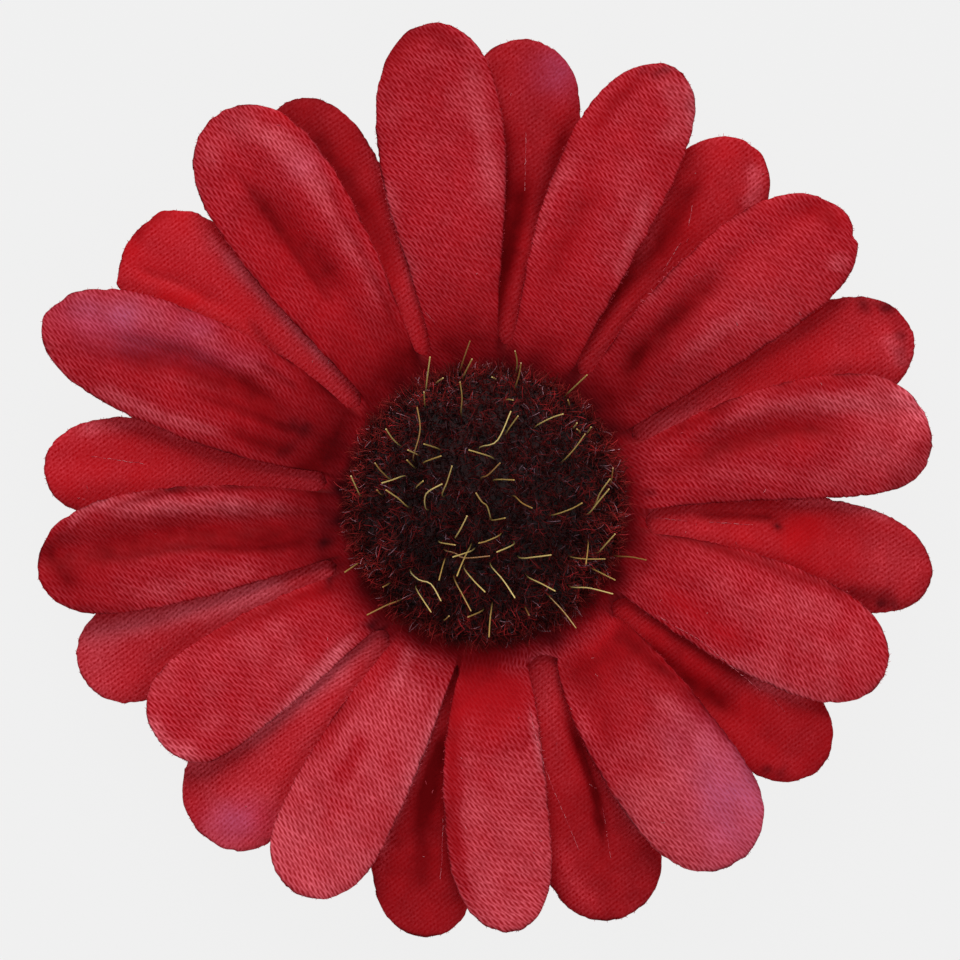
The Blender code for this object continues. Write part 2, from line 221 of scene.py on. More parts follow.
def dyeAndLightGroup():
    tree, given, out = newGroup(
        "clothDyeAndPaintedLight", "ShaderNodeTree",
        {"Cut": "Vector", "Lie": "Vector", "Weave": "Float", "Luck": "Float", "Grain": "Float",
         **dict.fromkeys(dyeAndLightColours, "Color")},
        {"Color": "Color", "Rough": "Float"})
    blotch = cloudy(tree, given["Cut"], *dyeAndLightSettings["blotch"])["Fac"]
    uneven = calc(tree, "MULTIPLY", calc(tree, "SUBTRACT", blotch, 0.5), dyeAndLightSettings["uneven"])
    # dye darkening with painted shade from folds, petal edges and shadows, plus uneven dye
    dyeShadeDepth = clamped(tree, calc(tree, "ADD", attribute(tree, "dyeAndShade"), uneven))
    grain = cloudy(tree, given["Lie"], dyeAndLightSettings["grain"])["Fac"]
    fine = calc(tree, "MULTIPLY", calc(tree, "SUBTRACT", grain, 0.5), given["Grain"])
    # the crowns take the thread colour as painted sheen, and the dashes and gaps take the gap colour as
    # painted shade, over the real bump
    lit = calc(tree, "MULTIPLY", given["Weave"], calc(tree, "MULTIPLY_ADD", given["Luck"], *dyeAndLightSettings["luck"]))
    crest = calc(tree, "POWER", clamped(tree, calc(tree, "ADD", lit, fine)), dyeAndLightSettings["contrast"])
    woven = mixColour(tree, crest, given["Gap"], given["Thread"])
    # painted sheen: low values leave matt velvet red, above one the painted highlight colour is mixed in
    paintedSheen = attribute(tree, "paintedSheen")
    # how far the woven pattern and painted sheen show over the matt velvet red
    flat = clamped(tree, calc(tree, "MULTIPLY_ADD", paintedSheen, *dyeAndLightSettings["showing"]))
    colour = mixColour(tree, flat, given["Velvet"], woven)
    paintedHighlightMix = clamped(tree, calc(tree, "ADD", clamped(tree, calc(tree, "SUBTRACT", paintedSheen, 1.0)),
                               attribute(tree, "paintedHighlightSpots")))
    onThread = calc(tree, "MULTIPLY_ADD", crest, *dyeAndLightSettings["showing"])
    colour = mixColour(tree, calc(tree, "MULTIPLY", paintedHighlightMix, onThread), colour, given["Painted Highlight"])
    tint = calc(tree, "MULTIPLY", attribute(tree, "violet"),
                calc(tree, "MULTIPLY_ADD", crest, *dyeAndLightSettings["violetShowing"]))
    colour = mixColour(tree, tint, colour, given["Violet"])
    colour = mixColour(tree, dyeShadeDepth, colour, given["Dark Dye And Shade"])
    # scorch and painted shade, near black
    colour = mixColour(tree, attribute(tree, "charAndShade"), colour, given["Char And Shade"])
    tree.links.new(colour, out["Color"])
    tree.links.new(calc(tree, "MULTIPLY_ADD", flat, *dyeAndLightSettings["rough"]), out["Rough"])
    return tree


def clothMaterial(name, look, weave, dyeAndLight):
    material, tree, shader = newMaterial(
        name, Sheen_Weight=look["sheen"], Sheen_Roughness=0.4, Sheen_Tint=(1.0, 0.12, 0.16, 1.0),
        Specular_IOR_Level=look["specular"])
    cut = addNode(tree, "ShaderNodeUVMap", uv_map="cut").outputs[0]
    sizes = {label: look[label] for label in weaveSizes}
    woven = addNode(tree, "ShaderNodeGroup", {"Cut": cut, **sizes}, node_tree=weave).outputs
    colours = {label: (*look[label], 1.0) for label in dyeAndLightColours}
    dyedAndLit = addNode(tree, "ShaderNodeGroup", {
        "Cut": cut, "Weave": woven["Thread"], "Luck": woven["Luck"], "Lie": woven["Lie"],
        "Grain": look["grain"], **colours}, node_tree=dyeAndLight).outputs
    tree.links.new(dyedAndLit["Color"], shader.inputs["Base Color"])
    tree.links.new(dyedAndLit["Rough"], shader.inputs["Roughness"])
    tree.links.new(bumpNode(tree, woven["Thread"], look["bump"]), shader.inputs["Normal"])
    return material


# The whorls: one die-cut sheet each, in the same form as their solids

whorls = {
    "petals": 12, "root": 18.2, "rootWidth": 7.6, "slitEnd": 0.9, "middle": 32.0, "tipSpan": 0.75,
    "rows": 92, "columns": 30, "crowding": 0.45, "slitColumns": 4, "webRings": (2.6, 9.0, 13.5, 15.4, 16.4),
    "cloth": 0.28, "ragged": 0.15, "raggedFrom": (0.05, 0.2), "fade": 11.0, "grooveSpread": 0.3,
    "curl": 0.16, "curlFrom": 4.0, "turnFrom": 5.0, "rimSpan": 0.5,
    "ripple": (0.14, 0.21), "pleat": 0.3,  # the ripple's height and noise scale, the pleats' height
    "tonesAt": (20.0, 27.0, 36.0, 46.0),
}
petalFields = ("reach", "base", "mid", "tip", "width", "widest", "neck", "blunt",
               "lift", "cup", "roll", "groove", "at")

upperWhorl = {
    "node": "petal_layer_upper", "piece": "upperWhorl", "slot": "satin_upper", "web": 8.66, "first": 97.5,
    "rootShade": (0.45, 6.5, 0.3),  # dye and painted shade darkening by the centre, its reach, and the same as far again
    "profile": [(16.0, 0.0), (19.0, 0.5), (26.0, 1.9), (34.0, 2.8), (42.0, 3.3), (54.0, 3.6)],
    "petals": [  # in the order of petalFields
        (53.05, 0.0, -0.15, -0.75, 13.85, 40, 1.4, 2.5, 0.2, -1.0, 0.1, 0.0, 0.0),
        (52.1, 0.5, 1.05, -0.3, 12.3, 39, 1.2, 2.6, -0.2, -0.8, -0.2, 0.45, 0.3),
        (50.6, 0.7, 1.7, 1.05, 13.5, 40, 1.0, 2.5, 0.3, -0.8, 0.2, 0.65, 0.4),
        (49.3, 0.9, 2.55, 1.35, 13.4, 40, 1.1, 2.6, 0.0, -0.6, 0.4, 0.6, 0.35),
        (47.4, 0.3, 0.25, -0.3, 12.8, 36, 0.9, 2.6, -0.3, -0.9, 0.2, 0.0, 0.0),
        (47.7, -0.2, -1.3, -1.4, 13.9, 37, 0.7, 2.8, 0.4, -0.8, -0.2, 0.3, 0.0),
        (46.6, -1.6, -3.2, -3.25, 11.3, 34, 0.8, 3.0, 0.5, -1.0, -0.3, 0.25, 0.1),
        (47.2, -0.1, -1.55, -2.45, 11.9, 38, 1.0, 2.6, 0.1, -0.9, -0.2, 0.35, -0.3),
        (44.1, -0.3, -1.4, -1.3, 11.9, 37, 1.0, 2.6, 0.2, -0.7, -0.1, 0.2, 0.2),
        (49.6, -0.1, -0.15, 0.8, 12.8, 38, 1.0, 2.5, 0.4, -0.2, -0.2, 0.85, -0.3),
        (52.45, -0.2, -0.65, -0.55, 13.2, 35, 0.9, 3.0, 0.6, -0.7, 0.3, 0.45, -0.2),
        (51.8, -0.3, -1.55, -2.5, 14.1, 41, 1.1, 2.5, 0.0, -0.6, -0.2, 0.6, 0.05),
    ],
    "turns": (2, 0, 1, 0, -6, 0, 2, -11, 3, 0, -4, -2),  # how each petal's weave stands, in degrees
    "tones": [  # depth of dye and painted shade, then painted sheen, at the four distances of tonesAt
        (0.1, 0.12, 0.07, 0.2, 0.5, 0.9, 1.0, 1.0), (0.0, 0.1, 0.1, 0.12, 0.6, 0.75, 0.85, 0.95),
        (0.3, 0.35, 0.1, 0.1, 0.6, 0.75, 0.8, 0.8), (-0.15, 0.15, 0.15, 0.1, 0.9, 0.8, 0.8, 1.3),
        (-0.05, 0.07, 0.05, 0.05, 0.8, 1.05, 1.25, 1.1), (0.25, 0.2, 0.2, 0.2, 0.15, 0.8, 1.5, 1.6),
        (-0.3, 0.1, 0.14, 0.1, 0.6, 1.1, 1.4, 1.5), (-0.6, -0.05, 0.07, 0.0, 1.1, 1.4, 1.3, 1.6),
        (-0.15, 0.0, 0.05, 0.0, 0.7, 1.2, 1.05, 1.05), (0.3, 0.15, 0.15, 0.35, 0.55, 0.85, 0.95, 0.6),
        (0.45, 0.3, 0.2, 0.2, 0.4, 0.6, 0.7, 1.0), (0.25, 0.12, 0.1, 0.1, 0.3, 0.5, 0.6, 1.0),
    ],
    "strokes": [  # width and dent in millimetres, added dye with painted shade, added painted sheen, then the path's pixels
        (1.2, 0.0, 0.0, 0.4, (382, 170), (392, 215), (404, 255), (418, 300)),
        (1.2, 0.0, 0.0, 0.5, (462, 50), (474, 85), (487, 150), (491, 215)),
        (1.0, 0.15, 0.2, -0.5, (381, 92), (387, 65), (405, 42), (435, 33), (455, 45)),
        (1.0, 0.0, 0.0, 0.4, (585, 135), (548, 200), (522, 290)),
        (0.7, 0.0, 0.2, -0.6, (645, 76), (616, 100), (588, 140)),
        (1.3, 0.3, 0.25, -0.4, (606, 177), (580, 215), (560, 260), (545, 300)),
        (1.5, 0.0, 0.0, 0.3, (640, 160), (610, 230), (600, 280)),
        (1.3, 0.0, 0.0, 0.45, (666, 76), (677, 110), (670, 150)),
        (0.8, 0.0, 0.0, 0.7, (684, 74), (692, 100), (691, 135)),
        (1.0, 0.0, 0.0, 0.4, (690, 250), (650, 295), (620, 325), (590, 355)),
        (1.3, 0.5, 0.5, -0.6, (732, 266), (692, 304), (664, 331), (643, 352), (615, 390)),
        (1.0, 0.0, -0.05, 0.2, (760, 295), (715, 328), (675, 362), (640, 400)),
        (1.5, 0.0, 0.0, 0.5, (840, 250), (835, 275)),
        (1.3, 0.0, 0.25, -0.6, (798, 208), (825, 214), (842, 232)),
        (1.5, 0.0, 0.0, 0.3, (780, 300), (720, 330), (680, 370)),
        (0.8, 0.0, 0.0, 0.3, (660, 385), (630, 405)),
        (1.2, -0.1, 0.0, 0.5, (700, 432), (760, 407), (860, 400), (905, 418)),
        (0.8, 0.0, 0.35, -0.6, (640, 449), (670, 434), (705, 417), (745, 398)),
        (0.8, 0.0, 0.15, -0.5, (760, 392), (841, 380), (880, 382)),
        (0.9, 0.0, -0.1, 0.9, (888, 390), (912, 402), (926, 424)),
        (1.5, 0.4, 0.45, -0.6, (860, 427), (790, 427), (722, 446), (662, 475)),
        (1.5, 0.0, 0.0, 0.3, (900, 440), (820, 480), (720, 470), (660, 460)),
        (1.0, 0.1, 0.3, -0.2, (924, 435), (915, 468), (880, 492)),
        (0.7, 0.0, 0.4, -0.7, (645, 528), (700, 542), (760, 563), (830, 588), (865, 615)),
        (1.2, 0.1, 0.0, -0.6, (660, 590), (720, 630), (760, 655)),
        (0.5, 0.0, 0.0, 0.3, (700, 640), (760, 680), (820, 700)),
        (1.0, 0.0, 0.0, 0.4, (620, 672), (675, 712), (722, 765)),
        (0.9, 0.2, 0.45, -0.6, (612, 628), (661, 668), (700, 703), (738, 745), (760, 785), (765, 820)),
        (1.0, 0.1, 0.1, -0.2, (600, 700), (610, 750)),
        (0.5, 0.0, 0.0, 0.8, (527, 700), (540, 755), (555, 795)),
        (0.8, 0.0, 0.0, 0.6, (443, 680), (435, 720), (415, 770), (395, 815)),
        (0.8, 0.0, 0.25, -0.9, (458, 690), (453, 750), (453, 815), (460, 872), (475, 905)),
        (1.0, 0.0, 0.35, -0.7, (252, 312), (287, 350), (335, 395)),
        (1.3, 0.0, 0.2, -0.4, (66, 336), (100, 352), (155, 353)),
        (1.0, 0.0, -0.3, 0.5, (560, 662), (572, 700), (592, 745)),
        (0.8, 0.0, 0.0, 0.6, (650, 185), (634, 237), (610, 290)),
        (0.9, 0.0, 0.3, -0.5, (222, 429), (250, 439), (295, 452)),
        (1.6, 0.0, -1.0, 0.9, (488, 668), (545, 658), (592, 636), (628, 604)),
        (0.9, 0.0, 0.35, -0.8, (190, 650), (240, 622), (304, 596), (345, 583)),
        (1.0, 0.0, -0.1, 0.8, (148, 710), (160, 742), (200, 758)),
        (1.1, 0.3, 0.3, -0.7, (382, 662), (355, 697), (328, 730), (300, 760)),
        (1.0, 0.0, 0.1, -0.5, (365, 728), (352, 760), (335, 790)),
        (0.8, 0.0, -0.1, 0.5, (412, 645), (402, 668), (392, 700)),
        (1.2, 0.0, 0.05, -0.2, (350, 780), (320, 830)),
        (0.8, 0.0, 0.0, 1.2, (365, 625), (340, 650), (310, 685), (275, 725), (240, 755)),
        (1.2, -0.1, 0.0, 0.8, (68, 526), (94, 506), (140, 506), (200, 506), (275, 508), (335, 512)),
        (0.45, 0.0, 0.45, -0.3, (110, 508), (170, 491), (230, 487), (305, 488)),
        (1.1, 0.0, 0.35, -0.4, (48, 542), (60, 568), (80, 592)),
        (0.7, 0.0, -0.1, 0.7, (64, 532), (86, 508), (118, 497)),
        (1.9, 0.4, 0.5, -0.8, (58, 560), (110, 550), (170, 535), (270, 535), (325, 532)),
        (1.4, 0.0, 0.0, 0.3, (100, 585), (160, 590), (220, 575), (290, 560)),
        (1.6, 0.0, 0.0, 0.5, (60, 310), (120, 310), (200, 335), (260, 375), (300, 400)),
        (1.6, 0.4, 0.4, -0.6, (100, 355), (170, 360), (240, 390), (300, 430)),
        (1.0, 0.0, 0.0, 0.8, (90, 385), (160, 415), (240, 440)),
        (0.4, 0.0, 0.3, 0.0, (255, 360), (300, 390)),
        (0.6, 0.15, 0.3, -0.3, (85, 335), (140, 340), (190, 352), (240, 378), (290, 410)),
        (0.5, 0.15, 0.3, -0.2, (190, 395), (235, 408), (275, 425), (310, 435)),
        (0.5, 0.0, 0.0, 0.5, (150, 375), (200, 385), (250, 400)),
        (0.5, 0.15, 0.25, -0.2, (215, 150), (260, 200), (300, 262), (345, 320)),
        (0.5, 0.1, 0.25, -0.2, (320, 170), (350, 230), (380, 290), (400, 340)),
        (0.5, 0.15, 0.3, -0.2, (110, 560), (180, 548), (250, 550), (310, 545)),
        (1.6, -0.1, 0.0, 0.9, (225, 120), (280, 140), (320, 190), (345, 235), (375, 285), (395, 330)),
        (2.0, 0.4, 0.5, -0.4, (240, 180), (270, 215), (310, 255), (350, 300)),
        (1.2, 0.0, 0.0, -0.2, (230, 230), (290, 290)),
    ],
    "spots": {  # centre and size in pixels, then strength
        "violet": [(734, 802, 38, 54, 1.05), (110, 316, 46, 20, 0.65), (192, 328, 24, 16, 0.4),
                   (302, 166, 18, 14, 0.15), (140, 345, 42, 16, 0.35), (215, 358, 40, 12, 0.25),
                   (695, 735, 30, 30, 0.25)],
        # painted highlight spots
        "paintedHighlightSpots": [(760, 300, 60, 40, 0.12), (820, 405, 60, 12, 0.15), (752, 787, 24, 34, 0.45)],
        # painted sheen, raised or lowered
        "paintedSheen": [(600, 640, 35, 35, -0.6), (490, 690, 40, 40, -0.9), (205, 150, 20, 20, 0.4),
                 (285, 121, 22, 14, -0.7), (385, 655, 15, 15, -0.8)],
        # scorch and painted shade
        "charAndShade": [(656, 72, 14, 7, 0.65), (450, 42, 22, 10, 0.15), (690, 105, 8, 8, 0.2),
                  (60, 545, 18, 30, 0.2), (100, 608, 50, 5, 0.25), (180, 489, 60, 4, 0.25),
                  (650, 492, 8, 5, 0.4), (337, 480, 12, 45, 0.75), (300, 428, 16, 12, 0.5),
                  (326, 533, 12, 20, 0.8), (377, 628, 13, 12, 0.8), (284, 450, 18, 10, 0.35),
                  (326, 580, 11, 13, 0.6), (384, 650, 11, 11, 0.2), (622, 452, 11, 14, 0.35)],
    },
    "nicks": [(854, 235, -0.35, 0.6), (60, 300, -0.3, 0.9), (105, 291, -0.3, 0.5)],
    "frayed": [(388, 200, 12, 60), (650, 290, 50, 50), (538, 750, 14, 60), (425, 745, 20, 70),
               (290, 700, 70, 70), (155, 730, 20, 40), (120, 300, 30, 14), (880, 640, 20, 40)],
    "snags": [[(528, 700), (540, 755), (556, 795)], [(655, 615), (700, 640), (760, 690)],
              [(425, 312), (435, 322)]],
    "lint": [(283, 128), (590, 658), (595, 672), (777, 448), (796, 510), (310, 718), (273, 787)],
    "look": {
        "Pitch": 0.329, "Repeat": 1.39, "Step": 0.372, "Turn": math.radians(-44.0),
        "Dash Turn": math.radians(-10.0), "Dash Length": 0.36, "Dash Width": 0.1,
        "Ground": 1.0, "Groove": 0.3, "Least": 0.7, "Most": 1.1, "Stretch": 0.4,
        "grain": 1.0, "sheen": 0.03, "specular": 0.035, "bump": 0.4,
        # the thread colour holds painted sheen, the highlight colour is painted highlight, the dark colour is
        # dye with painted shade, the last is scorch with painted shade
        "Gap": (0.30, 0.0, 0.002), "Thread": (0.57, 0.042, 0.062), "Velvet": (0.44, 0.003, 0.007),
        "Painted Highlight": (0.82, 0.15, 0.19), "Violet": (0.54, 0.10, 0.205), "Dark Dye And Shade": (0.10, 0.0, 0.001),
        "Char And Shade": (0.018, 0.0005, 0.0015),
    },
}
lowerWhorl = {
    "node": "petal_layer_lower", "piece": "lowerWhorl", "slot": "satin_lower", "web": 7.67, "first": 82.5,
    "rootShade": (0.12, 4.0, 0.0),
    "profile": [(16.0, 0.0), (19.0, 0.15), (26.0, 0.9), (34.0, 1.3), (42.0, 1.4), (54.0, 1.3)],
    "petals": [
        (51.3, 0.3, 1.4, 1.9, 13.4, 40, 1.1, 2.8, 0.3, -0.8, 0.0, 0.0, 0.0),
        (49.2, 0.0, 0.65, 0.85, 12.7, 37, 1.0, 2.6, 0.0, -0.7, 0.2, 0.3, -0.2),
        (50.6, 0.0, 0.4, 0.0, 12.6, 39, 1.1, 2.8, -0.2, -0.6, 0.1, 0.4, 0.2),
        (49.55, 0.0, 0.0, -1.4, 11.6, 37, 1.0, 3.1, 0.2, -0.7, -0.1, 0.3, 0.3),
        (46.8, 0.0, 0.25, -0.05, 12.0, 36, 1.0, 2.8, -0.1, -0.6, 0.2, 0.4, -0.3),
        (47.65, -0.8, -2.3, -3.15, 13.5, 36, 1.0, 3.2, -0.3, -0.7, -0.2, 0.3, 0.2),
        (48.0, -0.3, -1.35, -0.95, 12.2, 37, 1.0, 2.6, 0.0, -0.8, 0.0, 0.3, 0.0),
        (47.75, -0.3, -2.2, -2.0, 13.6, 38, 1.1, 2.9, 0.1, -0.7, 0.1, 0.0, 0.0),
        (48.25, 0.0, 0.0, -0.05, 11.6, 38, 1.0, 3.2, -0.2, -0.8, 0.0, 0.2, 0.2),
        (48.7, 0.0, 0.8, 1.85, 11.4, 37, 1.0, 3.0, 0.2, -0.7, -0.2, 0.3, -0.1),
        (48.8, 0.0, -0.2, 0.25, 13.0, 39, 1.1, 3.7, 0.1, -0.6, 0.2, 0.4, 0.1),
        (49.3, 0.0, 1.65, 3.0, 11.7, 39, 1.0, 2.6, 0.0, -0.9, 0.0, 0.0, 0.0),
    ],
    "turns": (0,) * 12,
    "tones": [
        (0.3, 0.35, 0.45, 0.35, 0.6, 0.5, 0.45, 0.8), (0.1, 0.15, 0.2, 0.1, 0.7, 0.5, 0.4, 0.65),
        (-0.2, -0.15, 0.0, 0.1, 0.9, 0.55, 0.3, 0.75), (-0.1, 0.1, 0.2, 0.25, 0.7, 0.5, 0.35, 0.85),
        (0.1, 0.15, 0.25, 0.4, 0.4, 0.3, 0.35, 0.45), (0.0, 0.25, 0.5, 0.45, 0.6, 0.5, 0.4, 0.6),
        (0.3, 0.5, 0.65, 0.45, 0.4, 0.35, 0.25, 0.5), (-0.1, -0.1, -0.1, 0.15, 1.0, 0.9, 0.9, 1.3),
        (-0.2, -0.3, -0.5, -0.4, 1.0, 0.9, 0.8, 1.0), (-0.2, -0.2, -0.1, -0.1, 0.8, 0.6, 0.5, 0.6),
        (-0.2, -0.2, -0.2, -0.2, 0.8, 0.7, 0.6, 0.6), (0.0, 0.15, 0.4, 0.5, 0.6, 0.4, 0.4, 0.6),
    ],
    "strokes": [
        (1.5, 0.3, 0.4, -0.2, (500, 110), (505, 200), (495, 290)),
        (1.2, 0.1, 0.3, -0.1, (570, 110), (555, 170), (535, 230)),
        (0.8, 0.0, 0.0, 0.4, (548, 150), (540, 200), (534, 250)),
        (0.9, 0.1, 0.5, -0.5, (527, 160), (519, 220), (503, 285), (490, 340)),
        (1.4, 0.3, 0.6, -0.3, (706, 150), (695, 185), (660, 245), (604, 306), (572, 358)),
        (0.7, 0.0, -0.2, 0.6, (672, 178), (655, 225), (636, 272)),
        (1.2, 0.0, 0.0, 0.9, (755, 155), (757, 188), (745, 215)),
        (1.2, 0.0, 0.5, -0.5, (122, 262), (140, 226), (165, 208), (195, 212)),
        (1.2, 0.0, -0.2, 0.9, (58, 446), (100, 423), (150, 420), (215, 442)),
        (0.8, 0.35, 0.4, -0.3, (765, 340), (700, 375), (645, 408)),
        (0.9, -0.1, -0.3, 1.3, (798, 322), (765, 336), (735, 346), (695, 368), (645, 396)),
        (1.2, 0.0, -0.3, 0.4, (745, 388), (700, 408), (645, 438)),
        (1.2, 0.0, -0.2, 0.6, (886, 330), (905, 372)),
        (0.6, 0.35, 0.5, -0.2, (690, 515), (790, 518)),
        (0.9, 0.0, -0.4, 1.1, (775, 501), (834, 502), (872, 510), (900, 526)),
        (1.0, 0.0, 0.5, 0.0, (840, 590), (900, 600)),
        (1.3, 0.35, 0.7, -0.2, (635, 640), (680, 675), (720, 702), (742, 718)),
        (0.9, 0.0, -0.3, 1.0, (738, 676), (786, 694), (820, 705)),
        (1.5, 0.0, 0.45, 0.0, (650, 615), (700, 650), (770, 695)),
        (1.0, 0.0, -0.5, 0.3, (536, 650), (543, 685), (548, 712)),
        (0.6, 0.35, 0.7, -0.2, (563, 706), (580, 750), (595, 790), (606, 855)),
        (0.8, 0.0, -0.4, 0.9, (600, 760), (622, 805), (648, 848)),
        (1.0, 0.0, 0.0, 0.3, (545, 690), (560, 760), (575, 800)),
        (1.2, 0.0, -0.3, 0.5, (553, 830), (572, 880), (600, 920)),
        (1.2, 0.0, 0.6, -0.4, (444, 725), (430, 780), (421, 830)),
        (0.8, 0.0, -0.5, 1.2, (442, 700), (427, 745), (404, 798), (386, 840), (376, 890)),
        (1.0, 0.0, 0.25, 0.0, (419, 810), (421, 850), (424, 895)),
        (1.5, 0.2, 0.35, -0.2, (140, 675), (200, 645)),
        (1.4, 0.0, -0.4, 1.0, (68, 652), (100, 632), (150, 620), (217, 603), (300, 577)),
        (1.3, 0.0, -0.5, 1.0, (178, 763), (206, 752), (250, 733), (300, 700), (375, 635)),
        (1.2, 0.0, 0.0, 0.5, (220, 610), (290, 580)),
        (1.0, 0.1, 0.1, 0.2, (130, 425), (240, 455), (320, 475)),
        (0.7, 0.3, 0.45, -0.2, (125, 262), (150, 272), (180, 282), (230, 310)),
        (1.1, 0.0, -0.5, 1.0, (195, 222), (222, 250), (262, 292), (300, 330), (355, 388)),
        (1.0, 0.0, 0.0, -0.6, (150, 290), (200, 305)),
        (0.8, 0.1, 0.5, 0.0, (240, 310), (290, 370), (320, 400)),
        (1.2, 0.1, 0.35, -0.2, (300, 112), (340, 172), (378, 235), (400, 300)),
        (0.9, 0.0, -0.3, 0.8, (355, 125), (386, 178), (405, 250), (417, 320)),
        (0.7, 0.0, -0.2, 0.6, (295, 140), (318, 172), (345, 215)),
    ],
    "spots": {
        "violet": [(555, 72, 24, 22, 0.6), (237, 822, 28, 20, 0.62)],
        # painted highlight spots
        "paintedHighlightSpots": [(890, 560, 26, 30, 0.15), (88, 666, 26, 30, 0.25)],
        # painted sheen, raised or lowered
        "paintedSheen": [(800, 530, 20, 20, -0.5), (880, 560, 22, 22, 0.2), (190, 815, 14, 24, -0.6)],
        # scorch and painted shade
        "charAndShade": [(908, 340, 12, 22, 0.8), (884, 305, 28, 8, 0.75), (885, 604, 22, 8, 0.5),
                  (778, 526, 5, 4, 0.6), (772, 773, 14, 9, 0.5), (642, 905, 16, 12, 0.25)],
    },
    "nicks": [(113, 288, 1.0, 0.9), (160, 206, 0.5, 1.3)],
    "frayed": [(735, 140, 30, 8), (525, 43, 20, 8)],
    "snags": [[(693, 205), (689, 225)], [(681, 242), (664, 270)], [(526, 132), (525, 190)],
              [(655, 518), (688, 521)], [(710, 522), (754, 525)], [(556, 795), (579, 850)],
              [(603, 808), (611, 860)], [(590, 785), (597, 790)], [(91, 456), (145, 464)],
              [(443, 820), (442, 860), (440, 880)], [(775, 700), (785, 712)]],
    "lint": [(426, 787), (435, 790), (247, 808)],
    "look": {
        "Pitch": 0.483, "Repeat": 0.449, "Step": -0.288, "Turn": math.radians(38.0),
        "Dash Turn": math.radians(12.0), "Dash Length": 0.19, "Dash Width": 0.11,
        "Ground": 0.87, "Groove": 0.0, "Least": 0.1, "Most": 0.8, "Stretch": 0.6,
        "grain": 1.1, "sheen": 0.03, "specular": 0.03, "bump": 0.3,
        # the same kinds of colour as above, with painted sheen, highlight and shade
        "Gap": (0.32, 0.0, 0.002), "Thread": (0.57, 0.041, 0.057), "Velvet": (0.46, 0.003, 0.006),
        "Painted Highlight": (0.75, 0.115, 0.15), "Violet": (0.50, 0.09, 0.20), "Dark Dye And Shade": (0.10, 0.0, 0.001),
        "Char And Shade": (0.018, 0.0005, 0.0015),
    },
}


def smoothThrough(points, x):
    xs, ys = np.array(points).T
    slopes = np.zeros(len(xs))
    slopes[1:-1] = (ys[2:] - ys[:-2]) / (xs[2:] - xs[:-2])
    slopes[-1] = (ys[-1] - ys[-2]) / (xs[-1] - xs[-2])
    step = np.clip(np.searchsorted(xs, x) - 1, 0, len(xs) - 2)
    span = xs[step + 1] - xs[step]
    t = np.clip((x - xs[step]) / span, 0.0, None)
    near = (1 + 2 * t) * (1 - t) ** 2 * ys[step] + t * (1 - t) ** 2 * span * slopes[step]
    far = t * t * (3 - 2 * t) * ys[step + 1] + t * t * (t - 1) * span * slopes[step + 1]
    return near + far


def ease(x, start, length):
    t = np.clip((x - start) / length, 0.0, 1.0)
    return t * t * (3.0 - 2.0 * t)


def turned(x, y, angle):
    return x * np.cos(angle) - y * np.sin(angle), x * np.sin(angle) + y * np.cos(angle)


def noiseAt(place, scale, layer):
    return np.array([noise.noise(Vector((x * scale, y * scale, layer))) for x, y in place[:, :2]])


def roughLine(count, seed):
    slow, fast = (np.array([noise.noise(Vector((n * step, seed * 7.3, layer))) for n in range(count)])
                  for step, layer in ((0.37, 1.7), (0.83, 6.1)))
    return slow + 0.8 * fast


def sideShift(petal, s):
    a, b, c = whorls["root"], whorls["middle"], petal["reach"]
    root = petal["base"] * (s - b) * (s - c) / ((a - b) * (a - c))
    middle = petal["mid"] * (s - a) * (s - c) / ((b - a) * (b - c))
    return root + middle + petal["tip"] * (s - a) * (s - b) / ((c - a) * (c - b))


def halfWidth(petal, s):
    root, widest, narrow = whorls["root"], petal["widest"], whorls["rootWidth"]
    neck = np.clip((s - root) / (widest - root), 0.0, 1.0)
    end = np.clip((s - widest) / (petal["reach"] - widest), 0.0, 1.0)
    opening = narrow + (petal["width"] - narrow) * np.sin(math.pi / 2 * neck ** petal["neck"])
    return np.where(s <= widest, opening, petal["width"] * np.sqrt(1.0 - end ** petal["blunt"])) / 2


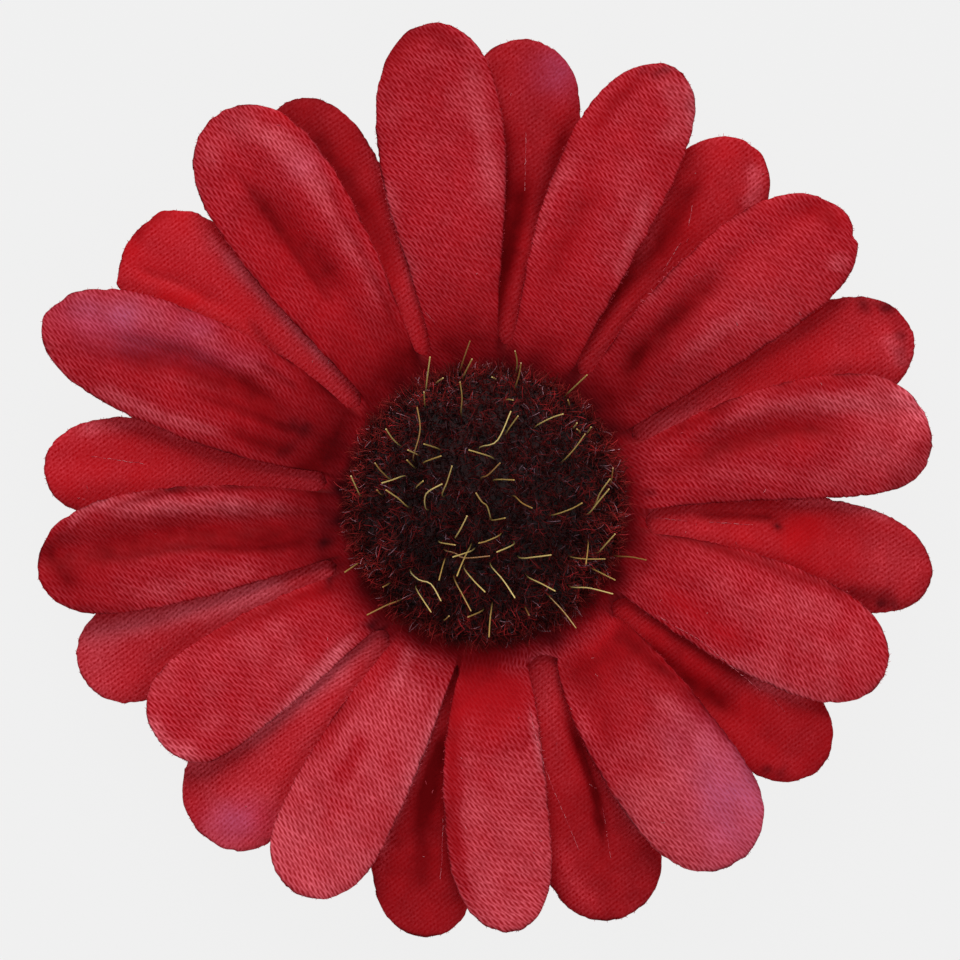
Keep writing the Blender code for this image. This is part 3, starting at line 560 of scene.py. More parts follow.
def petalGrid(whorl, number, petal):
    # rows of x, y, z, the weave's two, the flat pattern's two, distance to the rim, dye with painted shade,
    # and painted sheen
    rows, columns, crowding = whorls["rows"], whorls["columns"], whorls["crowding"]
    root, reach, widest = whorls["root"], petal["reach"], petal["widest"]
    row = np.arange(rows + 1)[:, None] / rows
    across = 1.0 - 2.0 * np.arange(columns + 1)[None, :] / columns
    across = np.sin(across * math.pi / 2) * crowding + across * (1 - crowding)  # closer at the edges
    blunt, span = petal["blunt"], whorls["tipSpan"]
    corner = (1.0 - span ** 2) ** (1 / blunt)
    bow = ((1.0 - (span * across) ** 2) ** (1 / blunt) - corner) / (1.0 - corner)
    edge = root + (widest + (reach - widest) * corner - root) * row
    middle = root + (reach - root) * row
    s = edge + (middle - edge) * bow
    seed = number + whorl["first"]
    left, right = roughLine(rows + 1, seed), roughLine(rows + 1, seed + 31)
    tip = roughLine(columns + 1, seed + 57)
    half = halfWidth(petal, edge)
    ragged = whorls["ragged"] * ease(row, *whorls["raggedFrom"]) * np.abs(across) ** 3
    y = half * across + ragged * np.where(across > 0, left[:, None], -right[:, None])
    s = s + whorls["ragged"] * row ** 12 * tip[None, :]
    out = (s - root) / (reach - root)
    form = petal["cup"] * (across ** 2 - 1 / 3) + petal["roll"] * across
    form = form - petal["groove"] * np.exp(-(((across - petal["at"]) / whorls["grooveSpread"]) ** 2))
    z = smoothThrough(whorl["profile"], s) + petal["lift"] * out ** 2
    z = z + form * ease(s, root - 1.0, whorls["fade"])
    rim = np.minimum((1.0 - np.abs(across)) * half, (reach - root) * (1.0 - row) + 0.0 * across)
    z = z - whorls["curl"] * np.exp(-rim / whorls["rimSpan"]) * ease(s, root, whorls["curlFrom"])
    angle = math.radians(whorl["first"] - 30.0 * number)
    lean = -math.radians(whorl["turns"][number]) * ease(s, root, whorls["turnFrom"])
    weaveX, weaveY = turned(s - root, y, lean)
    tones = whorl["tones"][number]
    dyeAndShade = np.interp(s, whorls["tonesAt"], tones[:4])
    paintedSheen = np.interp(s, whorls["tonesAt"], tones[4:])
    return np.stack([*turned(s, y + sideShift(petal, s), angle), z, *turned(weaveX + root, weaveY, angle),
                     *turned(s, y, angle), rim, dyeAndShade, paintedSheen], -1)


def plainRows(place, rim):
    rest = np.tile((rim, 0.0, 0.4), (len(place), 1))
    return np.concatenate([place, place[:, :2], place[:, :2], rest], 1)


def whorlPoints(whorl):
    rows, columns, slit = whorls["rows"], whorls["columns"], whorls["slitColumns"]
    petals = [dict(zip(petalFields, values)) for values in whorl["petals"]]
    grids = [petalGrid(whorl, number, petal) for number, petal in enumerate(petals)]
    perPetal = (rows + 1) * (columns + 1)
    points = [grid.reshape(perPetal, -1) for grid in grids]
    roots, count = [], perPetal * len(petals)
    for number in range(len(petals)):
        roots += [number * perPetal + c for c in range(columns + 1)]
        a, b = grids[number][0, -1, :3], grids[(number + 1) % len(petals)][0, 0, :3]
        t = np.arange(1, slit)[:, None] / slit
        between = a + (b - a) * t
        far = np.linalg.norm(between[:, :2], axis=1)
        between[:, :2] *= ((far - whorls["slitEnd"] * np.sin(math.pi * t[:, 0])) / far)[:, None]
        points.append(plainRows(between, 0.0))
        roots += list(range(count, count + slit - 1))
        count += slit - 1
    allPlace = np.concatenate(points)
    angles = np.arctan2(allPlace[roots, 1], allPlace[roots, 0])
    rings = []
    for radius in whorls["webRings"]:
        ring = np.stack([radius * np.cos(angles), radius * np.sin(angles), np.zeros(len(angles))], -1)
        points.append(plainRows(ring, 5.0))
        rings.append(list(range(count, count + len(angles))))
        count += len(angles)
    rings.append(roots)
    faces = []
    for inner, outer in zip(rings, rings[1:]):
        for n in range(len(inner)):
            m = (n + 1) % len(inner)
            faces.append((inner[n], inner[m], outer[m], outer[n]))
    for number in range(len(petals)):
        for r in range(rows):
            for c in range(columns):
                a = number * perPetal + r * (columns + 1) + c
                faces.append((a, a + 1, a + columns + 2, a + columns + 1))
    return np.concatenate(points), faces


def flatPlace(u, v):
    return np.array(((u - axisAt[0]) * pixel, (axisAt[1] - v) * pixel))


wearShadeAndSheen = {  # wear, painted shade and painted sheen: noise scales, strengths, and where each change starts and how far it runs, in millimetres
    "rippleRun": 6.0, "pleats": (3.5, 9.0), "pleatFrom": (16.5, 3.0), "pleatTo": (22.0, 16.0),
    "patch": 0.45, "rough": 0.9, "singe": 0.35, "singed": (0.3, 1.8),
    "rootFrom": (15.5, 17.0), "rootPatch": 2.0, "rimDark": 0.3, "paintedSheenPatch": 0.25, "violetPatch": 0.5,
    "charAndShade": 0.72, "charAndShadeFrom": (14.6, 2.6), "charAndShadePatch": 1.8, "rimBurnt": (0.04, 0.4), "char": 0.12,
    "spotRough": (0.8, 1.2), "strokeEnds": (-0.05, 0.3, 0.75, 0.3), "strokeRough": (0.3, 0.25),
}


def strokeMask(place, rough, wide, path):
    best, part = np.full(len(place), 1e9), np.zeros(len(place))
    points = [flatPlace(u, v) for u, v in path]
    total, done = sum(np.linalg.norm(b - a) for a, b in zip(points, points[1:])), 0.0
    for a, b in zip(points, points[1:]):
        length = np.linalg.norm(b - a)
        t = np.clip(((place[:, :2] - a) @ (b - a)) / length ** 2, 0.0, 1.0)
        away = np.linalg.norm(place[:, :2] - (a + t[:, None] * (b - a)), axis=1)
        nearer = away < best
        best = np.where(nearer, away, best)
        part = np.where(nearer, (done + t * length) / total, part)
        done += length
    start, rise, late, fall = wearShadeAndSheen["strokeEnds"]
    ends = ease(part, start, rise) * (1.0 - ease(part, late, fall))
    widening, fading = wearShadeAndSheen["strokeRough"]
    return np.exp(-(best * (1.0 + widening * rough) / wide) ** 2) * ends * (1.0 + fading * rough)


def spotMask(place, spots):
    mask = np.zeros(len(place))
    for u, v, wide, high, strength in spots:
        dx = (place[:, 0] / pixel + axisAt[0] - u) / wide
        dy = (axisAt[1] - place[:, 1] / pixel - v) / high
        mask = mask + strength * np.exp(-(dx ** 2 + dy ** 2))
    return mask


def clothFields(whorl, points):
    first, spots = whorl["first"], whorl["spots"]
    place, rim = points[:, :3].copy(), points[:, 7]
    radius = np.linalg.norm(place[:, :2], axis=1)
    away = place[:, :2] / np.maximum(radius, 0.001)[:, None]
    for u, v, push, size in whorl["nicks"]:
        near = np.exp(-np.linalg.norm(place[:, :2] - flatPlace(u, v), axis=1) ** 2 / size ** 2)
        place[:, :2] += away * (push * near)[:, None]
    height, scale = whorls["ripple"]
    waves = noiseAt(place, scale, first)
    broadFold, fineFold = wearShadeAndSheen["pleats"]
    pleats = noiseAt(away, broadFold, 2.0) + 0.5 * noiseAt(away, fineFold, 4.0)
    pleated = ease(radius, *wearShadeAndSheen["pleatFrom"]), 1.0 - ease(radius, *wearShadeAndSheen["pleatTo"])
    place[:, 2] += whorl["web"] + height * waves * ease(radius, whorls["root"], wearShadeAndSheen["rippleRun"])
    place[:, 2] += whorls["pleat"] * pleats * pleated[0] * pleated[1]
    patchy = noiseAt(place, wearShadeAndSheen["patch"], 3.0 + first)
    rough = noiseAt(place, wearShadeAndSheen["rough"], 5.0 + first)
    least, swing = wearShadeAndSheen["singed"]
    singed = np.clip(least + swing * noiseAt(place, wearShadeAndSheen["singe"], 9.0 + first), 0.0, 1.0)
    # darkening by the centre is dye with painted shade; along the rims the cloth is darker where singed
    close, reach, broad = whorl["rootShade"]
    nearFrom, farFrom = wearShadeAndSheen["rootFrom"]
    dyeAndShade = points[:, 8] + close * (1.0 - ease(radius + wearShadeAndSheen["rootPatch"] * patchy, nearFrom, reach))
    dyeAndShade = dyeAndShade + broad * (1.0 - ease(radius, farFrom, 2 * reach))
    dyeAndShade = dyeAndShade + wearShadeAndSheen["rimDark"] * singed * np.exp(-rim / whorls["rimSpan"])
    # painted sheen, uneven in patches
    paintedSheen = points[:, 9] + wearShadeAndSheen["paintedSheenPatch"] * patchy + spotMask(place, spots["paintedSheen"])
    # each stroke dents the cloth, adds dye with painted shade, and adds painted sheen
    for wide, dent, dyeShadeDepth, sheen, *path in whorl["strokes"]:
        mask = strokeMask(place, rough, wide, path)
        place[:, 2] -= dent * mask
        dyeAndShade = dyeAndShade + dyeShadeDepth * mask
        paintedSheen = paintedSheen + sheen * mask
    # a dark ring round the centre, glue stain with painted shadow of the pile, then scorch at the cut rims,
    # then spots of scorch and painted shade
    charAndShade = wearShadeAndSheen["charAndShade"] * (1.0 - ease(radius + wearShadeAndSheen["charAndShadePatch"] * patchy, *wearShadeAndSheen["charAndShadeFrom"]))
    least, swing = wearShadeAndSheen["rimBurnt"]
    charAndShade = charAndShade + (least + swing * singed) * np.exp(-rim / wearShadeAndSheen["char"])
    least, swing = wearShadeAndSheen["spotRough"]
    charAndShade = charAndShade + spotMask(place, spots["charAndShade"]) * np.clip(least + swing * rough, 0.2, 1.4)
    paintedHighlightSpots = spotMask(place, spots["paintedHighlightSpots"])
    violet = spotMask(place, spots["violet"]) * (1.0 + wearShadeAndSheen["violetPatch"] * patchy)
    fields = {
        "dyeAndShade": np.clip(dyeAndShade, -0.4, 1.0), "paintedSheen": np.clip(paintedSheen, 0.0, 2.0), "charAndShade": np.clip(charAndShade, 0.0, 1.0),
        "paintedHighlightSpots": np.clip(paintedHighlightSpots, 0.0, 1.0), "violet": np.clip(violet, 0.0, 1.0),
    }
    return place, fields


def newPiece(name, mesh):
    mesh.polygons.foreach_set("use_smooth", [True] * len(mesh.polygons))
    piece = newObject(name, mesh)
    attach(piece, "root")
    return piece


def clothPiece(whorl, weave, dyeAndLight, threads):
    points, faces = whorlPoints(whorl)
    place, fields = clothFields(whorl, points)
    cut, pattern = points[:, 3:5], points[:, 5:7]
    mesh = newMesh(whorl["piece"], place, faces)
    layer = mesh.uv_layers.new(name="cut")
    corners = np.zeros(len(mesh.loops), dtype=np.int32)
    mesh.loops.foreach_get("vertex_index", corners)
    layer.data.foreach_set("uv", (cut[corners] * mm).astype(np.float32).ravel())
    for name, values in fields.items():
        storeValues(mesh, name, values)
    mesh.materials.append(clothMaterial(whorl["slot"], whorl["look"], weave, dyeAndLight))
    piece = newPiece(whorl["piece"], mesh)
    solid = piece.modifiers.new("cloth", "SOLIDIFY")
    solid.thickness, solid.offset = whorls["cloth"] * mm, 0.0
    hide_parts(whorl["node"])
    fringe = fringePiece(whorl, place, threads)


# Threads as thin tubes along guide lines: the frayed rims, the snags and the gold strands

fringe = {
    "spacing": 0.3, "inside": 0.12, "spread": 0.7, "least": 0.06, "most": 0.22, "radius": 0.026, "sides": 3,
    "steps": 3, "ahead": 0.3, "rise": (-0.25, 0.15), "tones": (0.35, 0.8), "wornTone": 0.85,
    "wornLonger": 0.8,
    "snag": 0.45, "snagGap": 0.25, "wriggle": 0.03, "looseTones": (0.7, 1.0),
    "lint": 60, "lintLength": (0.25, 0.7), "lintOn": (22.0, 48.0), "onCloth": 0.1,
}


def guideMesh(name, lines, tones):
    starts = np.cumsum([0] + [len(line) for line in lines])
    edges = [(int(s) + n, int(s) + n + 1) for s, line in zip(starts, lines) for n in range(len(line) - 1)]
    mesh = newMesh(name, [point for line in lines for point in line], [], edges)
    storeValues(mesh, "tone", np.repeat(tones, [len(line) for line in lines]))
    return mesh


def markedAlong(tree, curve):
    factor = addNode(tree, "GeometryNodeSplineParameter").outputs["Factor"]
    marked = addNode(tree, "GeometryNodeStoreNamedAttribute",
                     {"Geometry": curve.outputs[0], "Name": "along", "Value": factor},
                     data_type="FLOAT", domain="POINT")
    return marked.outputs[0], factor


def finished(tree, out, geometry, material):
    real = addNode(tree, "GeometryNodeRealizeInstances", {0: geometry})
    done = addNode(tree, "GeometryNodeSetMaterial", {"Geometry": real.outputs[0], "Material": material})
    tree.links.new(done.outputs[0], out["Geometry"])
    return tree


def threadTree():
    tree, given, out = newGroup(
        "threadTubes", "GeometryNodeTree",
        {"Geometry": "Geometry", "Radius": "Float", "Sides": "Int", "Steps": "Int", "Material": "Material"},
        {"Geometry": "Geometry"})
    line = addNode(tree, "GeometryNodeMeshToCurve", {"Mesh": given["Geometry"]})
    smooth = addNode(tree, "GeometryNodeCurveSplineType", {"Curve": line.outputs[0]},
                     spline_type="CATMULL_ROM")
    even = addNode(tree, "GeometryNodeResampleCurve", {"Curve": smooth.outputs[0], "Count": given["Steps"]})
    marked, _ = markedAlong(tree, even)
    circle = addNode(tree, "GeometryNodeCurvePrimitiveCircle",
                     {"Resolution": given["Sides"], "Radius": given["Radius"]})
    tube = addNode(tree, "GeometryNodeCurveToMesh",
                   {"Curve": marked, "Profile Curve": circle.outputs[0], "Fill Caps": True})
    return finished(tree, out, tube.outputs[0], given["Material"])


def bakeTree(name, mesh, tree, values):
    holder = newObject(name + "Guide", mesh)
    grow = holder.modifiers.new("grow", "NODES")
    grow.node_group = tree
    for item in tree.interface.items_tree:
        if item.in_out == "INPUT" and item.name in values:
            grow[item.identifier] = values[item.name]
    view = bpy.context.evaluated_depsgraph_get()
    made = bpy.data.meshes.new_from_object(
        holder.evaluated_get(view), preserve_all_data_layers=True, depsgraph=view)
    made.name = name
    holder.modifiers.remove(grow)
    bpy.data.objects.remove(holder)
    print(name, "faces", len(made.polygons))
    return newPiece(name, made)


def walkedAlong(line):
    return np.concatenate([[0.0], np.cumsum(np.linalg.norm(np.diff(line, axis=0), axis=1))])


def pointsAt(line, walked, at):
    return np.stack([np.interp(at, walked, values) for values in line.T], -1)


def rimThreads(whorl, place, draw):
    lines, tones = [], []
    rows, columns = whorls["rows"], whorls["columns"]
    perPetal = (rows + 1) * (columns + 1)
    for number in range(whorls["petals"]):
        grid = place[number * perPetal:(number + 1) * perPetal].reshape(rows + 1, columns + 1, 3)
        rim = np.concatenate([grid[6:, 0], grid[-1, 1:-1], grid[6:, -1][::-1]])
        walked = walkedAlong(rim)
        at = draw.uniform(0.0, walked[-1] - fringe["ahead"], int(walked[-1] / fringe["spacing"]))
        foot, ahead = pointsAt(rim, walked, at), pointsAt(rim, walked, at + fringe["ahead"])
        side = np.stack([-(ahead - foot)[:, 1], (ahead - foot)[:, 0]], -1)
        side /= np.maximum(np.linalg.norm(side, axis=1), 1e-6)[:, None]
        worn = np.clip(spotMask(foot, [(*spot, 1.0) for spot in whorl["frayed"]]), 0.0, 1.0)
        length = fringe["least"] + fringe["most"] * draw.random(len(at)) ** 3
        length = length * (1.0 + fringe["wornLonger"] * worn)
        lean = draw.uniform(-fringe["spread"], fringe["spread"], (2, len(at)))
        height = draw.uniform(*fringe["rise"], len(at)) * length
        first = np.stack(turned(side[:, 0], side[:, 1], lean[0]), -1)
        second = np.stack(turned(side[:, 0], side[:, 1], lean[0] + lean[1]), -1)
        root = np.column_stack([foot[:, :2] - first * fringe["inside"], foot[:, 2]])
        middle = np.column_stack([foot[:, :2] + first * length[:, None] / 2, foot[:, 2] + height / 2])
        end = np.column_stack([middle[:, :2] + second * length[:, None] / 2, foot[:, 2] + height])
        lines += np.stack([root, middle, end], 1).tolist()
        tones.append(draw.uniform(*fringe["tones"], len(at)) * (1.0 - worn) + fringe["wornTone"] * worn)
    return lines, np.concatenate(tones)


def surfaceLine(place, flat):
    nearest = [np.argmin(((place[:, :2] - p) ** 2).sum(1)) for p in flat]
    lift = whorls["cloth"] / 2 + fringe["radius"]
    return [(p[0], p[1], place[n, 2] + lift) for p, n in zip(flat, nearest)]


def looseThreads(whorl, place, draw):
    lines = []
    for path in whorl["snags"]:
        points = np.array([flatPlace(u, v) for u, v in path])
        walked, start = walkedAlong(points), 0.0
        while start < walked[-1]:
            stretch = start + np.array((0.0, 0.5, 1.0)) * fringe["snag"] * draw.uniform(0.6, 1.5)
            flat = pointsAt(points, walked, stretch)
            lines.append(surfaceLine(place, flat + draw.normal(0.0, fringe["wriggle"], flat.shape)))
            start = stretch[-1] + fringe["snagGap"] * draw.random()
    far = draw.uniform(*fringe["lintOn"], fringe["lint"])
    angle = draw.uniform(0.0, 2 * math.pi, fringe["lint"])
    strewn = np.stack([far * np.cos(angle), far * np.sin(angle)], -1)
    for spot in [flatPlace(u, v) for u, v in whorl["lint"]] + list(strewn):
        nearest = ((place[:, :2] - spot) ** 2).sum(1).min()
        if nearest < fringe["onCloth"]:
            bend, length = draw.uniform(0.0, 2 * math.pi), draw.uniform(*fringe["lintLength"])
            arc = bend + np.array((0.0, 0.7, 1.6)) * draw.uniform(0.2, 1.0)
            steps = np.stack([np.cos(arc), np.sin(arc)], -1) * length / 3
            lines.append(surfaceLine(place, spot + np.cumsum(steps, axis=0)))
    return lines


def fringePiece(whorl, place, threads):
    draw = np.random.default_rng(int(whorl["first"] * 2))
    lines, tones = rimThreads(whorl, place, draw)
    loose = looseThreads(whorl, place, draw)
    tones = np.concatenate([tones, draw.uniform(*fringe["looseTones"], len(loose))])
    return bakeTree(whorl["piece"].replace("Whorl", "Fringe"), guideMesh("rimGuides", lines + loose, tones),
                    threads["tree"], {
                        "Radius": fringe["radius"] * mm, "Sides": fringe["sides"], "Steps": fringe["steps"],
                        "Material": threads["material"]})


def looseMaterial():
    material, tree, shader = newMaterial("looseThreads", Roughness=0.6, Specular_IOR_Level=0.1)
    colour = rampNode(tree, attribute(tree, "tone"), [
        (0.0, (0.02, 0.001, 0.002)), (0.3, (0.16, 0.002, 0.004)), (0.55, (0.40, 0.012, 0.02)),
        (0.8, (0.60, 0.07, 0.10)), (1.0, (0.72, 0.28, 0.32))])
    tree.links.new(colour, shader.inputs["Base Color"])
    return material


# The calyx: a fluted cup ringed by pointed sepals, with a socket for the pin

cup = {
    "foot": 7.0, "wall": [(0.0, 7.0), (0.8, 7.6), (2.3, 8.6), (4.0, 9.9), (5.6, 10.6)], "wallRings": 12,
    "shoulder": 10.8, "flute": 0.25, "sepals": 16, "under": 6.2, "top": 7.0, "notch": 11.6, "reach": 15.6,
    "bevel": 0.5, "seat": 9.0, "socket": 2.3, "floor": 2.2, "round": 0.12, "around": 192,
    "greens": [(0.3, (0.035, 0.085, 0.016)), (0.7, (0.075, 0.165, 0.038))],
}


def calyxMaterial():
    material, tree, shader = mottledMaterial(
        "calyxPlastic", 260.0, 4.0, cup["greens"], Roughness=0.42, Specular_IOR_Level=0.4)
    pores = cloudy(tree, objectPlace(tree), 2600.0)["Fac"]
    tree.links.new(bumpNode(tree, pores, 0.25), shader.inputs["Normal"])
    return material


def calyxPiece():
    edge, under, top, notch = cup["round"], cup["under"], cup["top"], cup["notch"]
    socket, floor = cup["socket"], cup["floor"]
    heights = np.linspace(edge, cup["wall"][-1][0], cup["wallRings"])
    rings = [(0.0, 0.0, "round"), (cup["foot"] - edge, 0.0, "round")]
    rings += [(float(smoothThrough(cup["wall"], np.array(z))), z, "wall") for z in heights]
    rings += [(cup["shoulder"], under - edge, "wall")]
    rings += [(radius, z, "sepal") for radius, z in (
        (notch - cup["bevel"], under), (notch - edge, under), (notch, under + edge),
        (notch, top - edge), (notch - edge, top), (notch - cup["bevel"], top))]
    rings += [(radius, z, "round") for radius, z in (
        (cup["seat"], top), (socket + edge, top), (socket, top - edge), (socket, floor), (0.0, floor))]
    around = cup["around"]
    turn = 2 * math.pi * np.arange(around) / around
    wave = np.cos(cup["sepals"] * turn)
    spreads = {"round": 0.0 * wave, "wall": cup["flute"] * wave,
               "sepal": (cup["reach"] - notch) * (0.5 + 0.5 * wave) ** 0.8}
    points, loops, faces = [], [], []
    for radius, z, kind in rings:
        far = radius + spreads[kind]
        count = around if radius else 1
        loops.append([len(points) + n for n in range(count)])
        points += [(far[n] * math.cos(turn[n]) * (count > 1), far[n] * math.sin(turn[n]) * (count > 1), z)
                   for n in range(count)]
    for lower, upper in zip(loops, loops[1:]):
        for n in range(around):
            m = (n + 1) % around
            if len(lower) == 1:
                faces.append((lower[0], upper[m], upper[n]))
            elif len(upper) == 1:
                faces.append((lower[n], lower[m], upper[0]))
            else:
                faces.append((lower[n], lower[m], upper[m], upper[n]))
    mesh = newMesh("calyxCup", points, faces)
    mesh.materials.append(calyxMaterial())
    piece = newPiece("calyxCup", mesh)
    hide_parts("calyx")


tubeTree = threadTree()
threadParts = {"tree": tubeTree, "material": looseMaterial()}
weaveTree, dyeAndLightTree = satinGroup(), dyeAndLightGroup()
calyxPiece()
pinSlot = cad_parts["centre_pin"].material_slots[0]
pinSlot.link = "OBJECT"
pinSlot.material = mottledMaterial(
    "pinPlastic", 900.0, 3.0, [(0.4, (0.010, 0.009, 0.009)), (0.8, (0.030, 0.028, 0.027))],
    Roughness=0.35, Specular_IOR_Level=0.5)[0]
print("calyx and pin dressed")
for whorl in (lowerWhorl, upperWhorl):
    clothPiece(whorl, weaveTree, dyeAndLightTree, threadParts)


# The centre: a dark core under fine fibres, and the gold strands

pile = {
    "radius": 14.6, "bottom": 9.4, "skirt": 0.9, "rise": 7.6, "bend": math.radians(80.0), "rings": 24,
    "around": 96, "uneven": 0.035, "pocket": 10.4, "pocketTop": 10.8,
    "base": [(0.35, (0.005, 0.001, 0.0015)), (0.75, (0.03, 0.004, 0.005))],
    # the two lightest stops are painted glints
    "tones": [(0.0, (0.034, 0.0035, 0.0035)), (0.5, (0.076, 0.007, 0.0065)), (0.75, (0.15, 0.009, 0.010)),
              (0.93, (0.20, 0.012, 0.017)), (0.955, (0.15, 0.07, 0.09)), (1.0, (0.34, 0.20, 0.26))],
    # the root colour is painted shade at the fibre roots; the tufts vary at random
    "root": (0.007, 0.0012, 0.0015), "tuft": 380.0, "tufts": [(0.38, 0.35), (0.62, 1.35)],
    # painted light: the fibres brighten towards the rim
    "rimRadius": 18.0, "rim": [(0.5, 1.0), (0.82, (2.7, 2.3, 2.1))],
    "bends": ((0.15, 0.3), (0.5, 0.1), (0.9, 0.45), (-0.4, 0.7), (1.1, -0.3), (0.7, -0.8)),
    "taper": (-0.6, 1.0), "tilt": 0.95, "sizes": (0.65, 1.25), "toneBias": 1.6,
    "clump": 1100.0, "clumped": (1.4, 0.3),
}
layers = {  # fibres to a square metre, their sizes, and the darkest and lightest tone
    "pileUnder": {"Density": 7.6e6, "Length": 1.7 * mm, "Thickness": 0.06 * mm, "Steps": 3, "Seed": 3,
                  "Dark": 0.0, "Light": 0.8},
    "pileWisps": {"Density": 3.9e6, "Length": 2.2 * mm, "Thickness": 0.045 * mm, "Steps": 5, "Seed": 8,
                  "Dark": 0.3, "Light": 0.93},
    # the glint layer is fibres coloured as painted glints
    "pileGlints": {"Density": 0.7e6, "Length": 1.7 * mm, "Thickness": 0.04 * mm, "Steps": 5, "Seed": 15,
                   "Dark": 0.955, "Light": 1.0},
}


def domeHeight(angle):
    flat = math.cos(pile["bend"])
    return pile["bottom"] + pile["skirt"] + pile["rise"] * ((math.cos(angle) - flat) / (1.0 - flat))


def coreMesh():
    bend, around, bottom = pile["bend"], pile["around"], pile["bottom"]
    turn = 2 * math.pi * np.arange(around) / around
    ragged = 1.0 + pile["uneven"] * noiseAt(np.stack([np.cos(turn), np.sin(turn)], -1), 2.6, 4.0)
    levels = [(pile["radius"] * math.sin(angle) / math.sin(bend) * ragged, domeHeight(angle))
              for angle in np.linspace(0.0, bend, pile["rings"] + 1)[1:]]
    pocket = pile["pocket"] + 0.0 * turn
    levels += [(pile["radius"] * ragged, bottom), (pocket, bottom), (pocket, pile["pocketTop"])]
    points, rings, faces = [(0.0, 0.0, bottom + pile["skirt"] + pile["rise"])], [[0]], []
    for radius, height in levels:
        rings.append([len(points) + n for n in range(around)])
        points += [(r * math.cos(t), r * math.sin(t), height) for r, t in zip(radius, turn)]
    for upper, lower in zip(rings, rings[1:]):
        for n in range(around):
            m = (n + 1) % around
            if len(upper) == 1:
                faces.append((0, lower[n], lower[m]))
            else:
                faces.append((upper[m], upper[n], lower[n], lower[m]))
    faces.append(tuple(reversed(rings[-1])))
    return newMesh("pileCore", points, faces)


def randomNode(tree, kind, inputs, seed):
    return addNode(tree, "FunctionNodeRandomValue", {**inputs, "Seed": seed}, data_type=kind).outputs


def pileTree():
    tree, given, out = newGroup(
        "pileFibres", "GeometryNodeTree",
        {"Geometry": "Geometry", "Density": "Float", "Length": "Float", "Thickness": "Float",
         "Dark": "Float", "Light": "Float", "Steps": "Int", "Seed": "Int", "Material": "Material"},
        {"Geometry": "Geometry"})
    fibres = addNode(tree, "GeometryNodeJoinGeometry")
    for bend, lean in pile["bends"]:
        curve = addNode(tree, "GeometryNodeCurveQuadraticBezier", {
            "Resolution": given["Steps"], "Start": (0.0, 0.0, -0.2), "Middle": (-0.2 * bend, 0.1 * lean, 0.5),
            "End": (bend * 0.6, lean * 0.5, 1.0 - 0.4 * abs(bend))})
        marked, factor = markedAlong(tree, curve)
        taper = calc(tree, "MULTIPLY_ADD", factor, *pile["taper"])
        thick = calc(tree, "MULTIPLY", taper, calc(tree, "DIVIDE", given["Thickness"], given["Length"]))
        sized = addNode(tree, "GeometryNodeSetCurveRadius", {"Curve": marked, "Radius": thick})
        circle = addNode(tree, "GeometryNodeCurvePrimitiveCircle", {"Resolution": 3, "Radius": 1.0})
        tube = addNode(tree, "GeometryNodeCurveToMesh",
                       {"Curve": sized.outputs[0], "Profile Curve": circle.outputs[0], "Fill Caps": True})
        if "Scale" in tube.inputs:
            tree.links.new(thick, tube.inputs["Scale"])
        single = addNode(tree, "GeometryNodeGeometryToInstance", {"Geometry": tube.outputs[0]})
        tree.links.new(single.outputs[0], fibres.inputs[0])
    facing = parted(tree, addNode(tree, "GeometryNodeInputNormal").outputs[0])[2]
    clumps = addNode(tree, "ShaderNodeTexNoise", {"Scale": pile["clump"], "Detail": 1.0})
    dense = calc(tree, "MULTIPLY_ADD", clumps.outputs["Fac"], *pile["clumped"])
    scatter = addNode(tree, "GeometryNodeDistributePointsOnFaces", {
        "Mesh": given["Geometry"], "Selection": calc(tree, "GREATER_THAN", facing, 0.02),
        "Density": calc(tree, "MULTIPLY", given["Density"], dense), "Seed": given["Seed"]})
    most = pile["tilt"]
    tilt = randomNode(tree, "FLOAT_VECTOR", {0: (-most, -most, 0.0), 1: (most, most, 6.283)}, 5)[0]
    turn = addNode(tree, "FunctionNodeEulerToRotation", {0: tilt})
    aimed = addNode(tree, "FunctionNodeRotateRotation",
                    {0: scatter.outputs["Rotation"], 1: turn.outputs[0]}, rotation_space="LOCAL")
    size = randomNode(tree, "FLOAT", dict(zip((2, 3), pile["sizes"])), 9)[1]
    pick = randomNode(tree, "INT", {4: 0, 5: len(pile["bends"]) - 1}, 12)[2]
    placed = addNode(tree, "GeometryNodeInstanceOnPoints", {
        "Points": scatter.outputs["Points"], "Instance": fibres.outputs[0], "Pick Instance": True,
        "Instance Index": pick, "Rotation": aimed.outputs[0],
        "Scale": calc(tree, "MULTIPLY", size, given["Length"])})
    luck = calc(tree, "POWER", randomNode(tree, "FLOAT", {2: 0.0, 3: 1.0}, 21)[1], pile["toneBias"])
    span = calc(tree, "SUBTRACT", given["Light"], given["Dark"])
    toned = addNode(tree, "GeometryNodeStoreNamedAttribute", {
        "Geometry": placed.outputs[0], "Name": "tone",
        "Value": calc(tree, "MULTIPLY_ADD", span, luck, given["Dark"])}, data_type="FLOAT", domain="INSTANCE")
    return finished(tree, out, toned.outputs[0], given["Material"])


